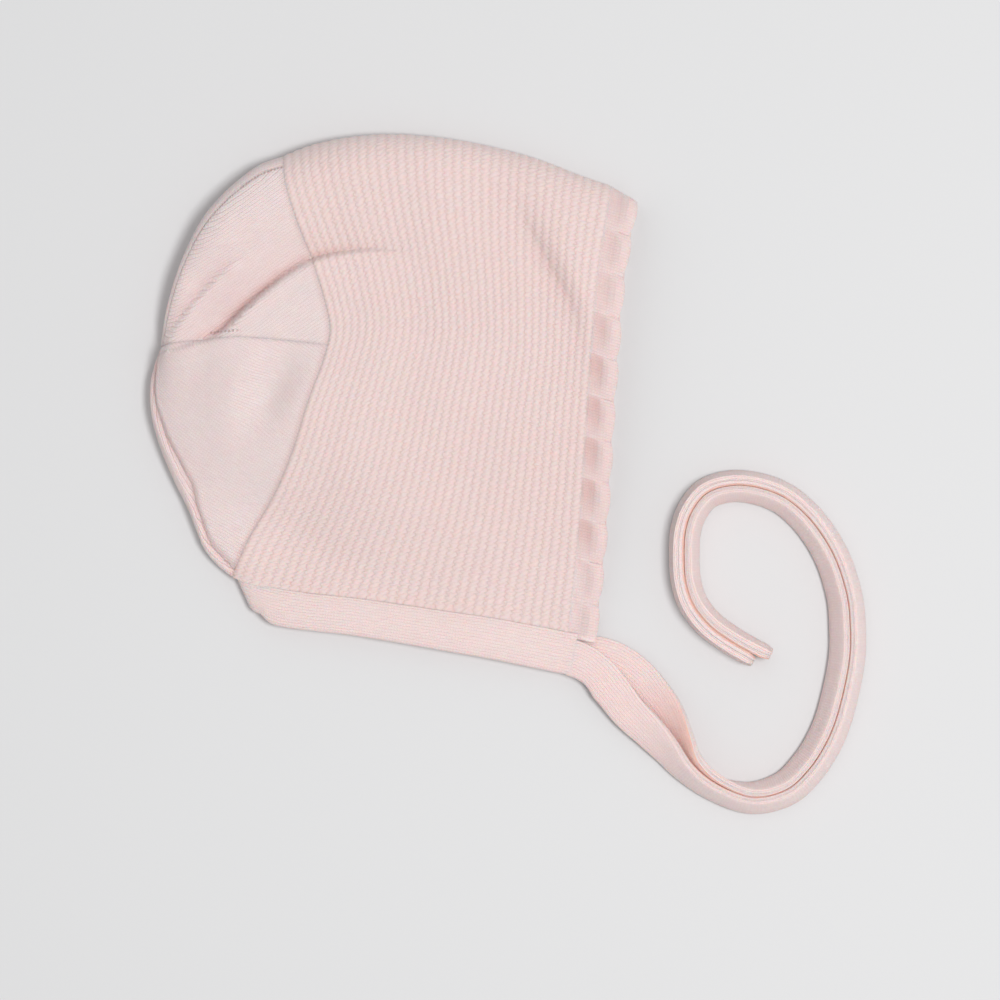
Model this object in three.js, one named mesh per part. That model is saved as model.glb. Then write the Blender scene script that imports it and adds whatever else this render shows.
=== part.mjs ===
import * as THREE from "three";

// A knitted baby bonnet that lies on its side on a flat surface.
// Millimetres, +Z up. +X runs from the back of the head to the face edge and +Y from the neck
// to the top of the head. The origin is on the surface, under the middle of the lower side.

// Driving sizes
const SIDE_DEPTH = 143.5; // back of the crown to the top front corner of the side, along X
const SIDE_HEIGHT = 156; // neck seam at the front to the top fold, along Y
const LOFT = 21; // height of the upper side where it stands highest
const FOLD_RADIUS = 3.6; // outer radius of the soft fold all round the closed outline
const SIDE_WALL = 1.6; // moss-stitch cloth
const CROWN_WALL = 1.2; // plain-knit cloth
const BAND_CLOTH = 0.9; // one layer of the folded neck band
const BAND_WIDTH_BACK = 11.6; // seam to fold, at the nape
const BAND_WIDTH_FRONT = 12.5; // seam to fold, at the front corners
const BAND_OVERHANG = 3.0; // the band's stretch past the front of the side panel
const BAND_TAB = 6.0; // how far the side's edge reaches into the band
const BAND_TAB_WALL = 0.5; // the side's edge where the band pinches it
const BAND_ARCH = 1.4; // how far the upper band rises between its two ends
const EDGE_WIDTH = 9.4; // seam to crest of the scalloped edge
const EDGE_THICKNESS = 2.4; // the doubled scalloped edge at its fullest
const SCALLOP_DEPTH = 1.5;
const EDGE_GROOVE = 1.0; // dip of the edge beside the last rib of the side
const EDGE_SWELL = 1.1; // rise of each scallop
const EDGE_NOTCH = 0.9; // dip of the edge between two scallops
const SCALLOPS_PER_SIDE = 10; // one more goes round the top fold
const TIE_LENGTH = 279; // each tie, from the front corner to its end
const TIE_WIDTH = 11; // a tie folded lengthwise
const TIE_THICKNESS = 2.4; // its two layers
const TIE_SLOT_DEPTH = 4.0; // how deep the gap between its two layers stands open
const TIE_SLOT_WIDTH = 0.35;
const GAP = 0.3; // left between neighbouring pieces

// The upper side rolls over this far towards the closed outline.
const ROLL_WIDTH = 13;
const ROLL_POWER = 2.3;

// Origin, as shares of the depth from the back and of the height from the neck.
const ORIGIN = { back: 0.607, up: 0.468 };

// Plan outlines. back is a share of SIDE_DEPTH from the back of the crown, up a share of
// SIDE_HEIGHT from the front end of the neck seam.
const TOP_FOLD = [
  { back: 1.0, up: 0.895 },
  { back: 0.931, up: 0.917 },
  { back: 0.844, up: 0.948 },
  { back: 0.758, up: 0.97 },
  { back: 0.672, up: 0.986 },
  { back: 0.585, up: 0.996 },
  { back: 0.499, up: 0.998 },
  { back: 0.413, up: 0.99 },
  { back: 0.348, up: 0.976 },
  { back: 0.289, up: 0.955 },
];
const FACE_SEAM = [
  { back: 0.905, up: 0.0 },
  { back: 0.924, up: 0.167 },
  { back: 0.937, up: 0.333 },
  { back: 0.948, up: 0.498 },
  { back: 0.959, up: 0.627 },
  { back: 0.973, up: 0.75 },
  { back: 1.0, up: 0.895 },
];
const NECK_SEAM = [
  { back: 0.905, up: 0.0 },
  { back: 0.758, up: 0.026 },
  { back: 0.626, up: 0.044 },
  { back: 0.462, up: 0.066 },
  { back: 0.326, up: 0.08 },
  { back: 0.244, up: 0.094 },
  { back: 0.177, up: 0.115 },
];
const CROWN_SEAM = [
  { back: 0.177, up: 0.115 },
  { back: 0.212, up: 0.188 },
  { back: 0.274, up: 0.286 },
  { back: 0.313, up: 0.371 },
  { back: 0.346, up: 0.466 },
  { back: 0.378, up: 0.545 },
  { back: 0.393, up: 0.607 },
  { back: 0.379, up: 0.672 },
  { back: 0.355, up: 0.742 },
  { back: 0.323, up: 0.817 },
  { back: 0.297, up: 0.895 },
  { back: 0.289, up: 0.955 },
];
const CROWN_TOP = [
  { back: 0.289, up: 0.955 },
  { back: 0.238, up: 0.938 },
  { back: 0.195, up: 0.91 },
  { back: 0.151, up: 0.873 },
  { back: 0.112, up: 0.829 },
  { back: 0.081, up: 0.775 },
  { back: 0.056, up: 0.717 },
  { back: 0.038, up: 0.659 },
  { back: 0.027, up: 0.607 },
  { back: 0.022, up: 0.573 },
];
const CROWN_BACK = [
  { back: 0.177, up: 0.115 },
  { back: 0.143, up: 0.141 },
  { back: 0.117, up: 0.171 },
  { back: 0.099, up: 0.21 },
  { back: 0.08, up: 0.254 },
  { back: 0.052, up: 0.306 },
  { back: 0.024, up: 0.367 },
  { back: 0.004, up: 0.428 },
  { back: 0.0, up: 0.484 },
  { back: 0.008, up: 0.532 },
  { back: 0.022, up: 0.573 },
];

// Height of the upper side. run is 0 at the face seam, 1 at the crown seam and 2 at the tip of
// the crown; crest and neck are shares of LOFT.
const HEIGHTS = [
  { run: 0.0, crest: 0.6, neck: 0.3 },
  { run: 0.3, crest: 0.67, neck: 0.3 },
  { run: 0.6, crest: 0.78, neck: 0.3 },
  { run: 0.85, crest: 0.9, neck: 0.32 },
  { run: 1.0, crest: 0.96, neck: 0.36 },
  { run: 1.3, crest: 0.97, neck: 0.45 },
  { run: 1.6, crest: 0.82, neck: 0.5 },
  { run: 2.0, crest: 0.6, neck: 0.5 },
];

// Soft dents and swells of the upper side. back and up place the middle, turn is the direction
// of its long axis in degrees, long and wide are shares of SIDE_DEPTH, rise a share of LOFT.
const DENTS = [
  { name: "crown dent", back: 0.283, up: 0.477, turn: 60, long: 0.09, wide: 0.045, rise: -0.16 },
  { name: "front swell", back: 0.92, up: 0.7, turn: 105, long: 0.2, wide: 0.055, rise: 0.09 },
  { name: "front hollow", back: 0.8, up: 0.75, turn: 125, long: 0.2, wide: 0.08, rise: -0.09 },
  { name: "nape hollow", back: 0.33, up: 0.18, turn: 145, long: 0.2, wide: 0.07, rise: -0.09 },
  { name: "cheek swell", back: 0.5, up: 0.3, turn: 145, long: 0.24, wide: 0.09, rise: 0.05 },
];

// Creases of the crown, from the tip outwards. deep is a share of LOFT; bank is how much wider
// the side towards the top fold is than the other, and width a share of SIDE_DEPTH.
const CREASES = [
  {
    name: "main crease",
    width: 0.03,
    bank: 2.9,
    ridge: 0.5,
    route: [
      { back: 0.05, up: 0.569, deep: 0.04 },
      { back: 0.089, up: 0.585, deep: 0.1 },
      { back: 0.136, up: 0.602, deep: 0.18 },
      { back: 0.168, up: 0.638, deep: 0.26 },
      { back: 0.21, up: 0.682, deep: 0.29 },
      { back: 0.264, up: 0.726, deep: 0.28 },
      { back: 0.318, up: 0.748, deep: 0.25 },
      { back: 0.359, up: 0.757, deep: 0.21 },
      { back: 0.413, up: 0.765, deep: 0.15 },
      { back: 0.492, up: 0.771, deep: 0.07 },
      { back: 0.575, up: 0.763, deep: 0.0 },
    ],
  },
  {
    name: "second crease",
    width: 0.02,
    bank: 1.5,
    ridge: 0.4,
    route: [
      { back: 0.054, up: 0.626, deep: 0.05 },
      { back: 0.082, up: 0.664, deep: 0.12 },
      { back: 0.115, up: 0.702, deep: 0.12 },
      { back: 0.143, up: 0.726, deep: 0.07 },
      { back: 0.17, up: 0.742, deep: 0.0 },
    ],
  },
];

// The way both ties take together, from the front corner, in shares of TIE_LENGTH.
const TIE_ROUTE = [
  { x: 0.0, y: 0.0 },
  { x: 0.018, y: -0.005 },
  { x: 0.036, y: -0.015 },
  { x: 0.054, y: -0.031 },
  { x: 0.07, y: -0.05 },
  { x: 0.088, y: -0.07 },
  { x: 0.1075, y: -0.094 },
  { x: 0.1285, y: -0.119 },
  { x: 0.159, y: -0.141 },
  { x: 0.2, y: -0.155 },
  { x: 0.2375, y: -0.146 },
  { x: 0.2625, y: -0.123 },
  { x: 0.28, y: -0.096 },
  { x: 0.2915, y: -0.069 },
  { x: 0.3035, y: -0.021 },
  { x: 0.3075, y: 0.008 },
  { x: 0.3075, y: 0.035 },
  { x: 0.3055, y: 0.062 },
  { x: 0.3005, y: 0.084 },
  { x: 0.2915, y: 0.11 },
  { x: 0.278, y: 0.135 },
  { x: 0.2575, y: 0.161 },
  { x: 0.233, y: 0.1805 },
  { x: 0.204, y: 0.191 },
  { x: 0.174, y: 0.193 },
  { x: 0.147, y: 0.184 },
  { x: 0.1305, y: 0.163 },
  { x: 0.1235, y: 0.14 },
  { x: 0.1225, y: 0.113 },
  { x: 0.1245, y: 0.085 },
  { x: 0.133, y: 0.06 },
  { x: 0.151, y: 0.037 },
  { x: 0.174, y: 0.02 },
  { x: 0.196, y: 0.007 },
  { x: 0.216, y: -0.003 },
];

// How each tie lies along its way. at is a share of its length, side its shift to the left of
// the route in tie widths, roll its turn from flat in degrees, lift its extra height off the
// surface in tie thicknesses, and width and thickness shares of the tie's own.
const NEAR_TIE_LAY = [
  { at: 0.0, side: 0.0, roll: 0, lift: 1.34, wide: 1.08, thick: 1.2 },
  { at: 0.03, side: -0.1, roll: 2, lift: 1.32, wide: 1.06, thick: 1.1 },
  { at: 0.06, side: -0.25, roll: 8, lift: 1.1, wide: 1.0, thick: 1.0 },
  { at: 0.1, side: -0.36, roll: 30, lift: 0.4, wide: 1.0, thick: 1.0 },
  { at: 0.14, side: -0.32, roll: 52, lift: 0.05, wide: 1.0, thick: 1.0 },
  { at: 0.18, side: -0.27, roll: 64, lift: 0.0, wide: 1.0, thick: 1.0 },
  { at: 0.24, side: -0.27, roll: 68, lift: 0.0, wide: 1.0, thick: 1.0 },
  { at: 0.32, side: -0.28, roll: 68, lift: 0.0, wide: 1.0, thick: 1.0 },
  { at: 0.5, side: -0.28, roll: 70, lift: 0.0, wide: 1.0, thick: 1.0 },
  { at: 0.68, side: -0.25, roll: 78, lift: 0.0, wide: 0.95, thick: 1.25 },
  { at: 0.85, side: -0.25, roll: 84, lift: 0.0, wide: 0.92, thick: 1.4 },
  { at: 1.0, side: -0.22, roll: 84, lift: 0.0, wide: 0.85, thick: 1.5 },
];
const FAR_TIE_LAY = [
  { at: 0.0, side: 0.0, roll: 0, lift: 0.0, wide: 1.08, thick: 1.2 },
  { at: 0.03, side: 0.24, roll: 2, lift: 0.0, wide: 1.06, thick: 1.1 },
  { at: 0.06, side: 0.42, roll: 4, lift: 0.0, wide: 1.0, thick: 1.0 },
  { at: 0.1, side: 0.47, roll: 15, lift: 0.0, wide: 1.0, thick: 1.0 },
  { at: 0.14, side: 0.41, roll: 40, lift: 0.0, wide: 1.0, thick: 1.0 },
  { at: 0.18, side: 0.32, roll: 70, lift: 0.0, wide: 1.0, thick: 1.0 },
  { at: 0.24, side: 0.3, roll: 104, lift: 0.0, wide: 1.0, thick: 1.0 },
  { at: 0.32, side: 0.33, roll: 112, lift: 0.0, wide: 1.0, thick: 1.0 },
  { at: 0.5, side: 0.34, roll: 114, lift: 0.0, wide: 1.0, thick: 1.0 },
  { at: 0.68, side: 0.32, roll: 110, lift: 0.0, wide: 0.95, thick: 1.0 },
  { at: 0.85, side: 0.26, roll: 108, lift: 0.0, wide: 0.92, thick: 1.1 },
  { at: 1.0, side: 0.26, roll: 100, lift: 0.0, wide: 0.85, thick: 1.5 },
];

// Stations of the surface grids: the way round each section, 0 at the upper neck seam, 1 at the
// top fold and 2 at the lower neck seam, and the way from front to back.
const UPPER_STEPS = [
  0.06, 0.13, 0.2, 0.27, 0.34, 0.41, 0.48, 0.6, 0.64, 0.67, 0.695, 0.72, 0.75, 0.79, 0.83, 0.87, 0.91,
  0.95,
];
const LOWER_STEPS = [1.05, 1.1, 1.15, 1.22, 1.32, 1.56, 1.68, 1.8, 1.9];
const SIDE_ROWS = [
  0, 0.06, 0.12, 0.18, 0.25, 0.32, 0.4, 0.48, 0.56, 0.63, 0.69, 0.74, 0.79, 0.84, 0.88, 0.92, 0.96, 1,
];
const CROWN_ROWS = [
  0, 0.05, 0.09, 0.13, 0.17, 0.21, 0.25, 0.29, 0.33, 0.37, 0.41, 0.45, 0.49, 0.53, 0.57, 0.61, 0.66,
  0.72, 0.78, 0.84, 0.9, 0.95,
];
const WEDGE_SPLIT = 0.56; // where the line between the two upper wedges meets the crown seam
const SEAM_STEP = 0.4; // length over which the side thins to its tab
const BAND_STATIONS = 20;
const BAND_TURN_STATIONS = 8;
const TIE_STATIONS = 51;

const clamp = THREE.MathUtils.clamp;
const lerp = THREE.MathUtils.lerp;
const smooth = (x) => THREE.MathUtils.smoothstep(x, 0, 1);
const UP = new THREE.Vector3(0, 0, 1);

// The value of a named column at some place in a table, between its rows.
function column(rows, key, place, name) {
  let next = rows.findIndex((row) => row[key] >= place);
  if (next < 0) next = rows.length - 1;
  next = Math.max(1, next);
  const [a, b] = [rows[next - 1], rows[next]];
  const share = clamp((place - a[key]) / (b[key] - a[key]), 0, 1);
  return lerp(a[name], b[name], smooth(share));
}

function place(share) {
  return new THREE.Vector2((share.back - ORIGIN.back) * SIDE_DEPTH, (share.up - ORIGIN.up) * SIDE_HEIGHT);
}

const curveOf = (rows) => new THREE.SplineCurve(rows.map(place));
const topFold = curveOf(TOP_FOLD);
const faceSeam = curveOf(FACE_SEAM);
const neckSeam = curveOf(NECK_SEAM);
const crownSeam = curveOf(CROWN_SEAM);
const crownTop = curveOf(CROWN_TOP);
const crownBack = curveOf(CROWN_BACK);
const crownTip = crownTop.getPointAt(1);

// A point of the patch between four edges: low and high run from start to end.
function patch(start, end, low, high, along, across) {
  const point = new THREE.Vector2();
  point.addScaledVector(start.getPointAt(across), 1 - along);
  point.addScaledVector(end.getPointAt(across), along);
  point.addScaledVector(low.getPointAt(along), 1 - across);
  point.addScaledVector(high.getPointAt(along), across);
  point.addScaledVector(start.getPointAt(0), -(1 - along) * (1 - across));
  point.addScaledVector(start.getPointAt(1), -(1 - along) * across);
  point.addScaledVector(end.getPointAt(0), -along * (1 - across));
  point.addScaledVector(end.getPointAt(1), -along * across);
  return point;
}

const tipOnly = { getPointAt: () => crownTip.clone() };

// Plan position: run is 0 to 1 on the side panel and 1 to 2 on the crown, rise 0 to 1 from the
// neck to the top fold.
function plan(run, rise) {
  if (run <= 1) return patch(faceSeam, crownSeam, neckSeam, topFold, run, rise);
  return patch(crownSeam, tipOnly, crownBack, crownTop, run - 1, rise);
}

// A quarter round that starts upright at the outline and is level from width inwards.
function roll(distance, width, power) {
  return Math.pow(1 - Math.pow(1 - clamp(distance / width, 0, 1), power), 1 / power);
}

// How far a place is from each closed stretch of the outline, in millimetres.
function outlineDistances(run, rise) {
  if (run <= 1) {
    const high = topFold.getPointAt(run);
    const low = neckSeam.getPointAt(run);
    const length = high.distanceTo(low);
    const fromNape = Math.hypot(rise * length, (1 - run) * neckSeam.getLength());
    return [(1 - rise) * length, fromNape];
  }
  const high = crownTop.getPointAt(run - 1);
  const low = crownBack.getPointAt(run - 1);
  const length = high.distanceTo(low);
  const seamToTip = crownSeam.getPointAt(clamp(rise, 0, 1)).distanceTo(crownTip);
  return [(1 - rise) * length, rise * length, (2 - run) * seamToTip];
}

function dentHeight(point) {
  let height = 0;
  for (const dent of DENTS) {
    const middle = place(dent);
    const turn = THREE.MathUtils.degToRad(dent.turn);
    const away = point.clone().sub(middle).rotateAround(new THREE.Vector2(), -turn);
    const along = away.x / (dent.long * SIDE_DEPTH);
    const across = away.y / (dent.wide * SIDE_DEPTH);
    height += dent.rise * LOFT * Math.exp(-along * along - across * across);
  }
  return height;
}

// A crease falls gently from the side of the top fold and rises steeply to a low ridge beyond.
function creaseHeight(point) {
  let height = 0;
  for (const crease of CREASES) {
    let best = { distance: Infinity };
    for (let i = 0; i + 1 < crease.route.length; i++) {
      const a = place(crease.route[i]);
      const b = place(crease.route[i + 1]);
      const along = b.clone().sub(a);
      const share = clamp(point.clone().sub(a).dot(along) / along.lengthSq(), 0, 1);
      const foot = a.clone().addScaledVector(along, share);
      const away = point.clone().sub(foot);
      const distance = away.length();
      if (distance < best.distance) {
        const left = along.x * away.y - along.y * away.x > 0;
        best = { distance, left, deep: lerp(crease.route[i].deep, crease.route[i + 1].deep, share) };
      }
    }
    const width = crease.width * SIDE_DEPTH;
    const far = best.distance / (best.left ? width * crease.bank : width);
    height -= best.deep * LOFT * Math.exp(-far * far);
    if (!best.left) {
      const ridge = (best.distance - 1.9 * width) / (1.1 * width);
      height += crease.ridge * best.deep * LOFT * Math.exp(-ridge * ridge);
    }
  }
  return height;
}

const neckArch = (run) => BAND_ARCH * Math.sin(Math.PI * clamp(run, 0, 1));
const BAND_SLOT = BAND_TAB_WALL + 2 * GAP;
const BAND_THICKNESS = BAND_SLOT + 2 * BAND_CLOTH;
const LOWER_BAND_MIDDLE = BAND_THICKNESS / 2;
const UPPER_BAND_MIDDLE = LOWER_BAND_MIDDLE + BAND_THICKNESS + GAP;
const NECK_LEAD = 9; // the lower side lifts into the band over this length

// Height of the outer skin on the upper side and on the lower side.
function upperHeight(run, rise, point) {
  const crest = column(HEIGHTS, "run", run, "crest") * LOFT;
  const seamHeight = UPPER_BAND_MIDDLE + SIDE_WALL / 2 + neckArch(run);
  const hem = run <= 1 ? seamHeight : column(HEIGHTS, "run", run, "neck") * LOFT;
  const start = lerp(hem, column(HEIGHTS, "run", run, "neck") * LOFT, smooth(run * 4 - 3));
  let shape = lerp(start, crest, smooth(rise / 0.5));
  shape += (dentHeight(point) + creaseHeight(point)) * smooth(rise / 0.1);
  const rolls = outlineDistances(run, rise).map((d) => roll(d, ROLL_WIDTH, ROLL_POWER));
  return FOLD_RADIUS + (shape - FOLD_RADIUS) * rolls.reduce((a, b) => a * b, 1);
}

function lowerHeight(run, rise) {
  const distances = outlineDistances(run, rise);
  const rolls = distances.map((d) => roll(d, FOLD_RADIUS, 2));
  const height = FOLD_RADIUS * (1 - rolls.reduce((a, b) => a * b, 1));
  if (run > 1) return height;
  const nearNeck = 1 - smooth((rise * SIDE_HEIGHT) / NECK_LEAD);
  const fromNape = smooth(distances[1] / ROLL_WIDTH);
  return height + nearNeck * fromNape * (LOWER_BAND_MIDDLE - SIDE_WALL / 2);
}

// The outer skin: way is 0 to 1 on the upper side and 1 to 2 on the lower one.
const riseOf = (way) => (1 - Math.cos(Math.PI * (way > 1 ? 2 - way : way))) / 2;
const wayOf = (rise) => Math.acos(1 - 2 * clamp(rise, 0, 1)) / Math.PI;
const INSET = 1.2; // the lower side stops this much short of the upper one at its open edges

function skin(run, way) {
  const rise = riseOf(way);
  const point = plan(run, rise);
  const height = way <= 1 ? upperHeight(run, rise, point) : lowerHeight(run, rise);
  return new THREE.Vector3(point.x, point.y, height);
}

function skinNormal(run, way) {
  const step = 0.004;
  const a = skin(clamp(run - step, 0, 1.985), way);
  const b = skin(clamp(run + step, 0, 1.985), way);
  const c = skin(run, clamp(way - step, 0.001, 1.999));
  const d = skin(run, clamp(way + step, 0.001, 1.999));
  return b.sub(a).cross(d.sub(c)).normalize().negate();
}

// One closed solid between two grids of points, with a rim round their edges.
function sheetSolid(outer, inner) {
  const rows = outer.length;
  const columns = outer[0].length;
  const points = [...outer.flat(), ...inner.flat()];
  const at = (layer, r, c) => layer * rows * columns + r * columns + c;
  const faces = [];
  const quad = (a, b, c, d) => faces.push([a, b, c], [a, c, d]);
  for (let r = 0; r + 1 < rows; r++) {
    for (let c = 0; c + 1 < columns; c++) {
      quad(at(0, r, c), at(0, r, c + 1), at(0, r + 1, c + 1), at(0, r + 1, c));
      quad(at(1, r, c), at(1, r + 1, c), at(1, r + 1, c + 1), at(1, r, c + 1));
    }
  }
  for (let c = 0; c + 1 < columns; c++) {
    quad(at(0, 0, c), at(1, 0, c), at(1, 0, c + 1), at(0, 0, c + 1));
    quad(at(0, rows - 1, c), at(0, rows - 1, c + 1), at(1, rows - 1, c + 1), at(1, rows - 1, c));
  }
  for (let r = 0; r + 1 < rows; r++) {
    quad(at(0, r, 0), at(0, r + 1, 0), at(1, r + 1, 0), at(1, r, 0));
    quad(at(0, r, columns - 1), at(1, r, columns - 1), at(1, r + 1, columns - 1), at(0, r + 1, columns - 1));
  }
  return solidOf(points, faces);
}

// One closed solid through a row of like sections, closed at both ends.
function sweptSolid(sections, flat) {
  const count = flat.length;
  const points = sections.flat();
  const faces = [];
  for (let s = 0; s + 1 < sections.length; s++) {
    for (let i = 0; i < count; i++) {
      const j = (i + 1) % count;
      const [a, b, c, d] = [s * count + i, s * count + j, (s + 1) * count + j, (s + 1) * count + i];
      faces.push([a, b, c], [a, c, d]);
    }
  }
  const last = (sections.length - 1) * count;
  for (const [a, b, c] of THREE.ShapeUtils.triangulateShape(flat, [])) {
    faces.push([c, b, a], [last + a, last + b, last + c]);
  }
  return solidOf(points, faces);
}

// A geometry whose faces point out, whichever way round they were listed.
function solidOf(points, faces) {
  let volume = 0;
  for (const [a, b, c] of faces) volume += points[a].dot(points[b].clone().cross(points[c]));
  const index = volume > 0 ? faces.flat() : faces.map(([a, b, c]) => [a, c, b]).flat();
  const geometry = new THREE.BufferGeometry().setFromPoints(points);
  geometry.setIndex(index);
  geometry.computeVertexNormals();
  return geometry;
}

// Neck seam point, the way across the band towards its fold, and the band's width there.
function neckFrame(run) {
  const inside = clamp(run, 0, 1);
  const point = neckSeam.getPointAt(inside);
  const tangent = neckSeam.getTangentAt(inside);
  point.addScaledVector(tangent, (run - inside) * neckSeam.getLength());
  const across = new THREE.Vector2(-tangent.y, tangent.x);
  const napeAcross = new THREE.Vector2(0.5, -0.87);
  across.lerp(napeAcross, smooth((inside - 0.8) / 0.2)).normalize();
  return { point, across, tangent, width: lerp(BAND_WIDTH_FRONT, BAND_WIDTH_BACK, smooth(inside * 1.4)) };
}

const yarn = new THREE.MeshStandardMaterial({ color: 0xf0d9d5, roughness: 0.95, metalness: 0 });
const bonnet = new THREE.Group();

function add(name, geometry, material) {
  const mesh = new THREE.Mesh(geometry, material.clone());
  mesh.name = name;
  bonnet.add(mesh);
}

// The moss-stitch side: upper side, round the top fold, lower side. Its two neck edges narrow
// to a tab that goes into the band.
function sidePanel() {
  const outer = [];
  const inner = [];
  const lastRun = 1 - GAP / 2 / neckSeam.getLength();
  for (const row of SIDE_ROWS) {
    const run = row * lastRun;
    const { point, across } = neckFrame(run);
    const tab = lerp(BAND_TAB, 0, smooth((run - 0.735) / 0.05));
    const hemOnly = smooth((run - 0.79) / 0.05);
    const edge = (distance, way, middle) => {
      const top = skin(run, way);
      const bottom = top.clone().addScaledVector(skinNormal(run, way), -SIDE_WALL);
      const base = point.clone().addScaledVector(across, distance);
      const half = new THREE.Vector3(0, 0, (way < 1 ? 1 : -1) * (BAND_TAB_WALL / 2));
      const centre = new THREE.Vector3(base.x, base.y, middle);
      return [centre.clone().add(half).lerp(top, hemOnly), centre.clone().sub(half).lerp(bottom, hemOnly)];
    };
    const upperMiddle = UPPER_BAND_MIDDLE + neckArch(run);
    const pairs = [edge(tab, 0.012, upperMiddle), edge(-SEAM_STEP, 0.035, upperMiddle)];
    for (const way of [...upperWays, 1, ...lowerWays]) {
      const top = skin(run, way);
      pairs.push([top, top.clone().addScaledVector(skinNormal(run, way), -SIDE_WALL)]);
    }
    pairs.push(edge(-SEAM_STEP, 1.965, LOWER_BAND_MIDDLE), edge(tab, 1.988, LOWER_BAND_MIDDLE));
    outer.push(pairs.map((pair) => pair[0]));
    inner.push(pairs.map((pair) => pair[1]));
  }
  return sheetSolid(outer, inner);
}

// One wedge of the crown between two ways round, each kept half a gap short of its neighbours.
function crownWedge(ways) {
  const outer = [];
  const inner = [];
  for (const share of CROWN_ROWS) {
    const chord = crownTop.getPointAt(share).distanceTo(crownBack.getPointAt(share));
    const margin = (lerp(0.5, 1.2, Math.pow(share, 4)) * GAP) / chord;
    const [low, high] = [riseOf(ways[0]), riseOf(ways[ways.length - 1])].sort((a, b) => a - b);
    const points = ways.map((way) => {
      const rise = clamp(riseOf(way), low + (low ? margin : 0), high - (high < 1 ? margin : 0));
      const kept = way > 1 || ways[0] >= 1 ? 2 - wayOf(rise) : wayOf(rise);
      const nape = GAP * (1 - smooth(rise / 0.06));
      const run = 1 + Math.max(share, (GAP / 2 + nape) / (0.3 * SIDE_DEPTH));
      const top = skin(run, kept);
      const bottom = top.clone().addScaledVector(skinNormal(run, kept), -CROWN_WALL);
      if (rise > 0 && rise < 1) return [top, bottom];
      const height = FOLD_RADIUS + (ways[0] < 1 ? GAP / 2 : -GAP / 2);
      return [top.setZ(height), bottom.setZ(height)];
    });
    outer.push(points.map((pair) => pair[0]));
    inner.push(points.map((pair) => pair[1]));
  }
  return sheetSolid(outer, inner);
}

// The scalloped edge: a doubled strip that carries on the skin past the face seam.
function scallopEdge() {
  const samples = [];
  const ends = { upper: 0.03, lower: 1.94 };
  let length = 0;
  for (let i = 0; i <= 400; i++) {
    const way = lerp(ends.upper, ends.lower, i / 400);
    const point = skin(0, way);
    if (i) length += point.distanceTo(samples[i - 1].point);
    samples.push({ way, point, length });
  }
  const wayAt = (wanted) => {
    const next = Math.max(1, samples.findIndex((s) => s.length >= wanted - 1e-9));
    const [a, b] = [samples[next - 1], samples[next]];
    return lerp(a.way, b.way, (wanted - a.length) / (b.length - a.length));
  };
  const count = 2 * SCALLOPS_PER_SIDE + 1;
  const phases = [0, 0.12, 0.36, 0.64, 0.88];
  const outer = [];
  const inner = [];
  for (let s = 0; s <= count; s++) {
    for (const phase of s < count ? phases : [0]) {
      const way = wayAt(((s + phase) / count) * length);
      const rise = riseOf(way);
      const out = plan(0, rise).sub(plan(0.02, rise)).normalize();
      const outward = new THREE.Vector3(out.x, out.y, 0);
      const normal = skinNormal(0.004, way);
      const fullness = Math.pow(Math.sin(Math.PI * phase), 0.4) || 0;
      const crest = EDGE_WIDTH - SCALLOP_DEPTH * (1 - fullness) - (way > 1 ? INSET : 0) * 0.5;
      const base = skin(0, way);
      const across = [
        { out: GAP / crest, top: 0, wall: SIDE_WALL * 0.9 },
        { out: 0.2, top: -EDGE_GROOVE, wall: SIDE_WALL * 0.7 },
        { out: 0.6, top: lerp(-EDGE_NOTCH, EDGE_SWELL, fullness), wall: lerp(0.6, 1, fullness) * EDGE_THICKNESS },
        { out: 0.9, top: lerp(-EDGE_NOTCH, EDGE_SWELL * 0.3, fullness), wall: EDGE_THICKNESS * 0.75 },
        { out: 1.0, top: -EDGE_NOTCH, wall: EDGE_THICKNESS * 0.35 },
      ].map((row) => {
        const sideways = way > 1 && way < 1.999 ? Math.min(row.top, 0) : row.top;
        const top = base.clone().addScaledVector(outward, row.out * crest).addScaledVector(normal, sideways);
        top.z = Math.max(top.z, 0);
        return [top, top.clone().addScaledVector(normal, -row.wall)];
      });
      outer.push(across.map((pair) => pair[0]));
      inner.push(across.map((pair) => pair[1]));
    }
  }
  return sheetSolid(outer, inner);
}

// The band's section: a lengthwise fold with its slot at 0 and its fold at the far side.
function foldSection(width, thickness, slotWidth, slotDepth) {
  const half = thickness / 2;
  const slot = slotWidth / 2;
  const round = Math.min(0.9, half * 0.6);
  return [
    [0.3, half],
    [width - round * 1.6, half],
    [width - round * 0.45, half * 0.62],
    [width, 0],
    [width - round * 0.45, -half * 0.62],
    [width - round * 1.6, -half],
    [0.3, -half],
    [0, -half + 0.35],
    [0, -slot],
    [slotDepth, -slot],
    [slotDepth, slot],
    [0, slot],
    [0, half - 0.35],
  ]
    .map(([x, y]) => new THREE.Vector2(x, y))
    .reverse();
}

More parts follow.
